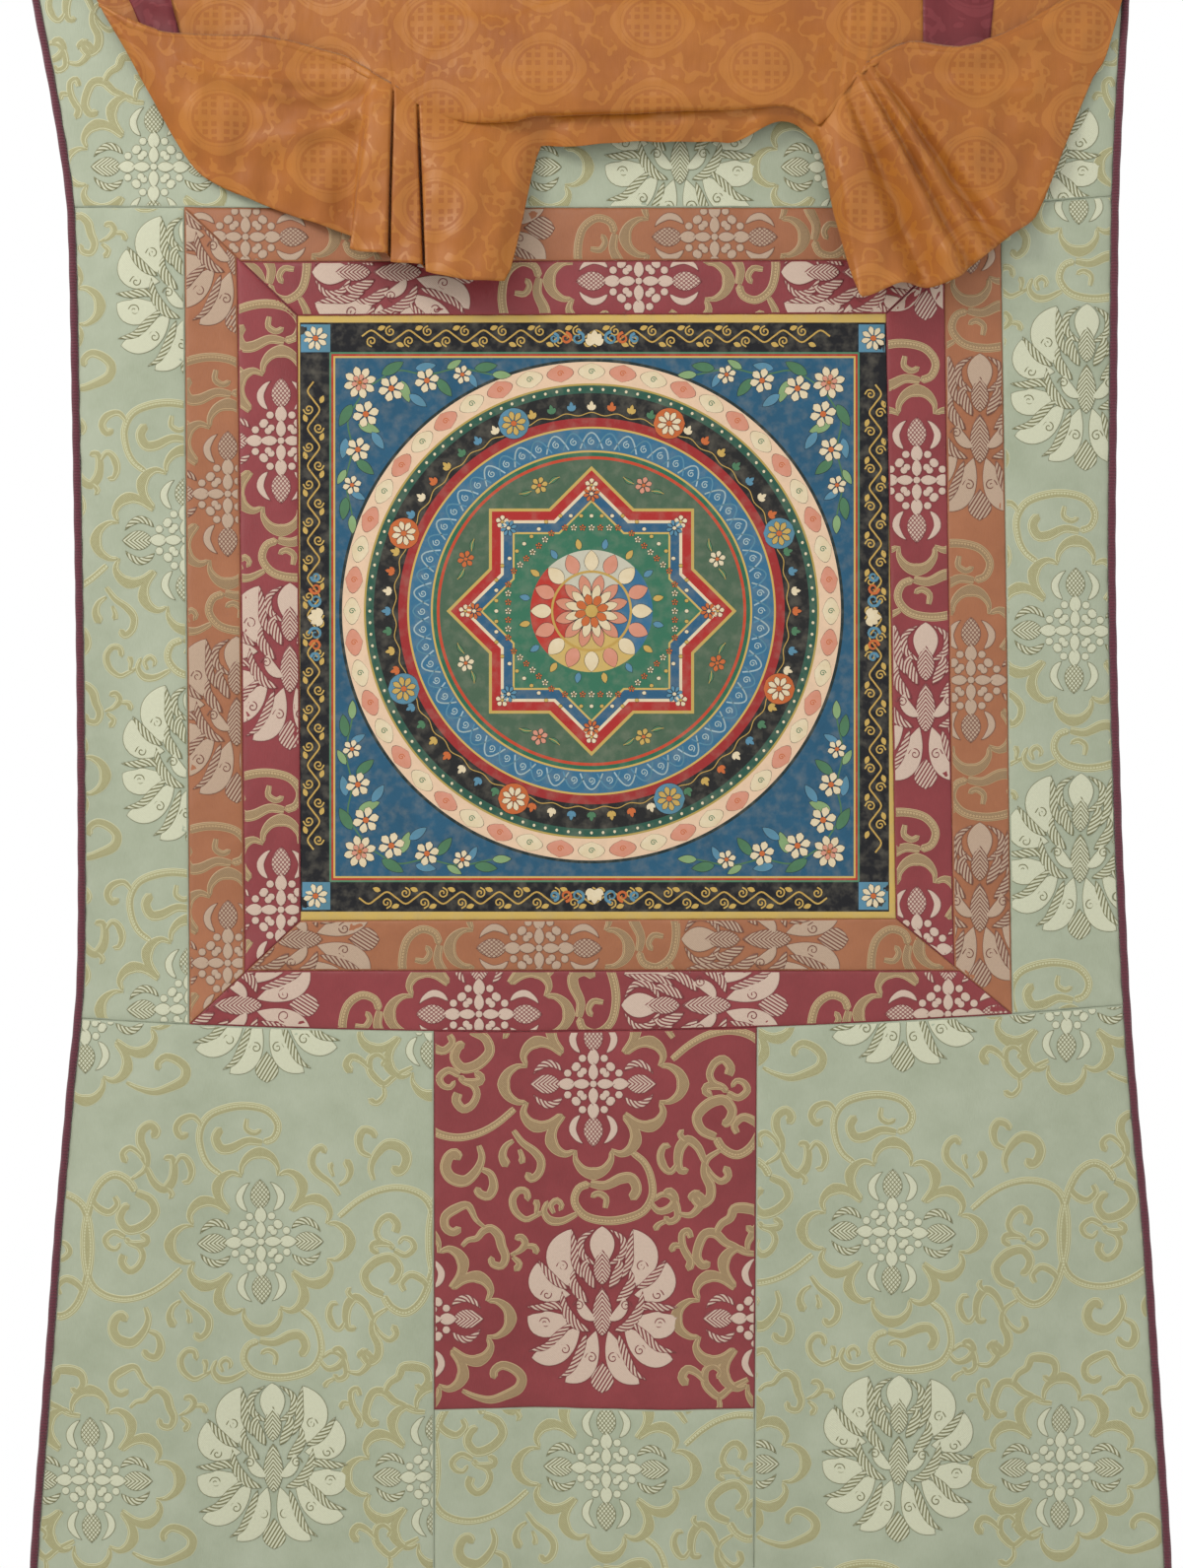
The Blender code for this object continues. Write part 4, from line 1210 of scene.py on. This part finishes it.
def crease_rise(x, z):
    """How far the creases lift the silk."""
    rise = np.zeros(x.shape)
    for crease in CREASES:
        share = np.clip((x - crease.x0) / (crease.x1 - crease.x0), 0.0, 1.0)
        hang = crease.z0 + (crease.z1 - crease.z0) * share - crease.sag * np.sin(math.pi * share)
        rise += crease.rise * np.sin(math.pi * share) * np.exp(-(((z - hang) / crease.width) ** 2))
    return rise


def veil_points(across, down):
    """The veil's front: down to the fold, back up behind it, and down in front to the hem."""
    line = Line(*(veil_table(across, name) for name in Line._fields))
    share = np.clip(down / UPPER_SHARE, 0.0, 1.0)
    lap = np.clip((down - UPPER_SHARE) / LAP_SHARE, 0.0, 1.0)
    low = np.clip((down - UPPER_SHARE - LAP_SHARE) / (1 - UPPER_SHARE - LAP_SHARE), 0.0, 1.0)
    upper = FIRST_RISE + (line.above - FIRST_RISE) * np.sin(share * math.pi / 2)
    turn_over = lap * lap * (3 - 2 * lap)
    bend = np.sin(low * math.pi / 2)
    lower = line.below + (line.middle - line.below) * np.sin(np.minimum(low * 2, 1) * math.pi / 2)
    lower = lower + (line.end - line.middle) * np.clip(2 * low - 1, 0, 1) ** 1.5
    rise = np.where(lap <= 0, upper, np.where(low <= 0, upper + (line.below - upper) * turn_over, lower))
    upper_x = line.top_x + (line.fold_x - line.top_x) * share
    x = np.where(low > 0, line.fold_x + (line.end_x - line.fold_x) * low, upper_x)
    z = np.where(low > 0, line.fold_z + (line.end_z - line.fold_z) * low, line.fold_z * share)
    z = z - LAP * np.sin(math.pi * lap) * np.minimum(1.0, (line.end_z - line.fold_z) / -0.03)
    ripple = 0.0006 * np.sin(x * 95 + z * 210) * np.sin(z * 130 - x * 60 + 1.0) * bend
    ripple = ripple + (0.0011 * np.sin(x * 170 + z * 60) + 0.0008 * np.sin(x * 310 - z * 85 + 2.0)) * bend
    swell = (0.0012 * np.sin(x * 46 + 1.3) * np.sin(z * 74) + 0.0008 * np.sin(x * 120 + z * 30)) * share
    least = np.where(down <= 0, FIRST_RISE, VEIL_CLEAR)
    least = np.minimum(least, FIRST_RISE + share * 0.01)
    rise = np.maximum(rise + (crease_rise(x, z) + swell) * share + ripple, least)
    return np.stack([x, -(relief(x, z) + rise), z], axis=1)


def silk_finish(name, dark, light, painted_figure_sheen):
    """Damask silk: figures of the same silk that only lie another way to the light, their sheen painted into
    the colour as a lighter tint.
    """
    f = Finish(name, Sheen_Weight=0.08, Sheen_Roughness=0.35, Anisotropic=0.5, Specular_IOR_Level=0.45)
    here = f.place()
    x, _, z = f.split(here)
    column = x / 0.058
    row = z / 0.050 + column.sum("FLOOR").sum("MODULO", 2.0) * 0.5
    u, v = column.fract() - 0.5, row.fract() - 0.5
    away = (u * u + v * v).sum("SQRT")
    spokes = u.sum("ARCTAN2", v) * 4.0
    rings = ((away * 15.0).fract() < 0.45) * (away < 0.36)
    fret = ((abs(u) * 12.0).fract() < 0.4).most((abs(v) * 12.0).fract() < 0.4) * (away < 0.24)
    edge = (away < (spokes.sum("COSINE") * 0.035 + 0.36)) * (away > 0.30)
    figure = (rings * (away > 0.24)).most(fret).most(edge)
    sprays = f.noise(here, 70.0, 2.0).near(0.5, 0.035) * (away > 0.42)
    figure = figure.most(sprays)
    clouds = f.noise(here, 26.0, 4.0)
    threads = f.noise(f.place((2400.0, 1.0, 120.0)), 1.0, 2.0)
    colour = f.mix((clouds * 0.9 + threads * 0.25 - 0.12).sum("ADD", 0.0, clamp=True), dark, light)
    # painted sheen: the damask figures are tinted lighter than the rest of the silk
    colour = f.mix(figure * 0.26, colour, painted_figure_sheen)
    wrinkles = f.noise(f.place((40.0, 1.0, 16.0), 12), 1.0, 3.0)
    height = wrinkles * 3.0 + figure * 0.10 + threads * 0.05
    return f.finish(
        Base_Color=colour, Roughness=0.54 - figure * 0.10 + clouds * 0.06, Normal=f.bump(height, 0.0016, 0.55)
    )


def silk_sheet(name, columns, rows, place, finish, thickness=SILK):
    piece = sheet_object(name, columns, rows, place, (finish,), thickness)
    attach(piece, "root")
    return piece


def make_veil():
    silk = silk_finish("orange_silk", (0.215, 0.050, 0.003), (0.420, 0.145, 0.010), (0.500, 0.205, 0.024))
    counts = [0.0]
    for k, (start, end) in enumerate(zip(VEIL, VEIL[1:])):
        parts = max(3, int(abs(end.end_x - start.end_x) / 0.0022))
        counts += [k + j / parts for j in range(1, parts + 1)]
    rows = np.concatenate([
        np.linspace(0, UPPER_SHARE, 40)[:-1],
        np.linspace(UPPER_SHARE, UPPER_SHARE + LAP_SHARE, 9)[:-1],
        np.linspace(UPPER_SHARE + LAP_SHARE, 1, 56),
    ])
    place = lambda across, down, column, row: veil_points(across, down)
    piece = silk_sheet("veil_silk", np.array(counts), rows, place, silk)
    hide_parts("veil")
    area = sum(face.area for face in piece.data.polygons)
    area / VEIL_WIDE / VEIL_CUT


RIBBON_THICK = 0.0006
Ribbon = namedtuple("Ribbon", "name top_left top_right low_left low_right")
RIBBONS = [
    Ribbon("ribbon_left", -0.2500, -0.1935, -0.2260, -0.1835),
    Ribbon("ribbon_right", 0.1740, 0.2190, 0.1745, 0.2110),
]


def make_ribbons():
    finish = silk_finish("crimson_silk", (0.085, 0.002, 0.005), (0.170, 0.008, 0.014), (0.240, 0.030, 0.036))
    top_x = np.array([line.top_x for line in VEIL])
    for ribbon in RIBBONS:

        def place(across, down, column, row, ribbon=ribbon):
            left = ribbon.top_left + (ribbon.low_left - ribbon.top_left) * down
            right = ribbon.top_right + (ribbon.low_right - ribbon.top_right) * down
            x = left + (right - left) * across
            count = np.interp(x, top_x, np.arange(len(VEIL)))
            for _ in range(25):
                here = veil_points(count, down * UPPER_SHARE)[:, 0]
                count = np.clip(count + (x - here) / 0.020, 0, len(VEIL) - 1.001)
            at = veil_points(count, down * UPPER_SHARE)
            curl = 0.0005 * np.sin(across * math.pi * 3 + down * 2)
            return at - np.stack([0 * x, 0.0012 + curl + 0 * x, 0.0015 * down], axis=1)

        columns, rows = np.linspace(0, 1, 22), np.linspace(0, 1, 34)
        piece = silk_sheet(ribbon.name + "_silk", columns, rows, place, finish, RIBBON_THICK)
        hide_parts(ribbon.name)


CORD_SIDES, CORD_RINGS = 14, 300


def make_bindings():
    """The twisted cords along the two sides."""
    f = Finish("wine_cord", Sheen_Weight=0.3)
    pile = f.noise(f.place(), 1500.0, 3.0)
    twist = f.node("ShaderNodeTexWave", {"bands_direction": "Z"}, {0: f.place(), 1: 190.0, 2: 1.5})
    colour = f.mix(pile * 0.6 + twist * 0.3, (0.040, 0.003, 0.010), (0.150, 0.012, 0.030))
    f.finish(Base_Color=colour, Roughness=pile * 0.2 + 0.65, Normal=f.bump(pile + twist * 0.6, 0.0006, 0.8))
    for name, edge, outwards in (("binding_left", left_edge, -1), ("binding_right", right_edge, 1)):
        z = np.linspace(0.0, -LENGTH, CORD_RINGS)
        x = edge(z) + outwards * (CORD / 2 - SEAM / 2)
        y = 0.00075 - relief(edge(z), z)

        def place(across, down, column, row):
            k = np.rint(down * (CORD_RINGS - 1)).astype(int)
            turn = across * 2 * math.pi
            radius = CORD / 2 * (1 + 0.05 * np.sin(k * 0.9 + turn * 2))
            return np.stack([x[k] + radius * np.cos(turn), y[k] - radius * np.sin(turn), z[k]], axis=1)

        columns, rows = np.linspace(0, 1, CORD_SIDES + 1), np.linspace(0, 1, CORD_RINGS)
        piece = sheet_object(name + "_cord", columns, rows, place, (f.material,), 0)
        made = bmesh.new()
        made.from_mesh(piece.data)
        bmesh.ops.remove_doubles(made, verts=made.verts[:], dist=1e-6)
        bmesh.ops.holes_fill(made, edges=made.edges[:], sides=0)
        bmesh.ops.recalc_face_normals(made, faces=made.faces[:])
        made.to_mesh(piece.data)
        made.free()
        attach(piece, "root")
        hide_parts(name)


def set_stage():
    world = bpy.data.worlds.new("studio")
    bpy.context.scene.world = world
    world.use_nodes = True
    world.node_tree.nodes["Background"].inputs[0].default_value = (1.0, 1.0, 1.0, 1.0)
    world.node_tree.nodes["Background"].inputs[1].default_value = 1.0
    bpy.context.scene.view_settings.view_transform = "Standard"
    for name, place, aim, size, power, tint in (
        ("key", (-1.1, -1.0, 0.60), (0.0, 0.0, -0.40), 0.5, 13.0, (1.0, 0.97, 0.93)),
        ("fill", (1.1, -1.6, -0.3), (0.0, 0.0, -0.50), 1.4, 1.5, (0.95, 0.98, 1.0)),
    ):
        light = bpy.data.lights.new(name, "AREA")
        light.size, light.energy, light.color = size, power, tint
        lamp = linked(name, light)
        lamp.location = place
        lamp.rotation_euler = (Vector(aim) - Vector(place)).to_track_quat("-Z", "Y").to_euler()
    floor_mesh = bpy.data.meshes.new("floor")
    made = bmesh.new()
    bmesh.ops.create_grid(made, x_segments=1, y_segments=1, size=1.0)
    bmesh.ops.translate(made, vec=(0, -0.8, -LENGTH - 0.06), verts=made.verts)
    made.to_mesh(floor_mesh)
    made.free()
    floor = linked("floor", floor_mesh)
    pale = Finish("pale_floor", Base_Color=(0.82, 0.82, 0.80, 1.0), Roughness=0.9)
    floor_mesh.materials.append(pale.material)


CAMERA_FROM = 1.45  # the camera's distance from the cloth
VIEW_WIDE = 0.640  # the width that its frame takes in at the cloth
VIEW_MIDDLE = (-0.0037, -0.4826)


def set_camera():
    lens = bpy.data.cameras.new("camera")
    lens.sensor_fit = "HORIZONTAL"
    lens.sensor_width = 36.0
    lens.lens = 36.0 * CAMERA_FROM / VIEW_WIDE
    lens.clip_start = 0.05
    camera = linked("camera", lens)
    camera.location = (VIEW_MIDDLE[0], -CAMERA_FROM, VIEW_MIDDLE[1])
    camera.rotation_euler = (math.pi / 2, 0, 0)
    bpy.context.scene.camera = camera


set_camera()
set_stage()
chart = weave_repeat()
arrays = mesh_arrays(chart.made)
make_panels(arrays)
make_painting()
make_veil()
make_ribbons()
make_bindings()
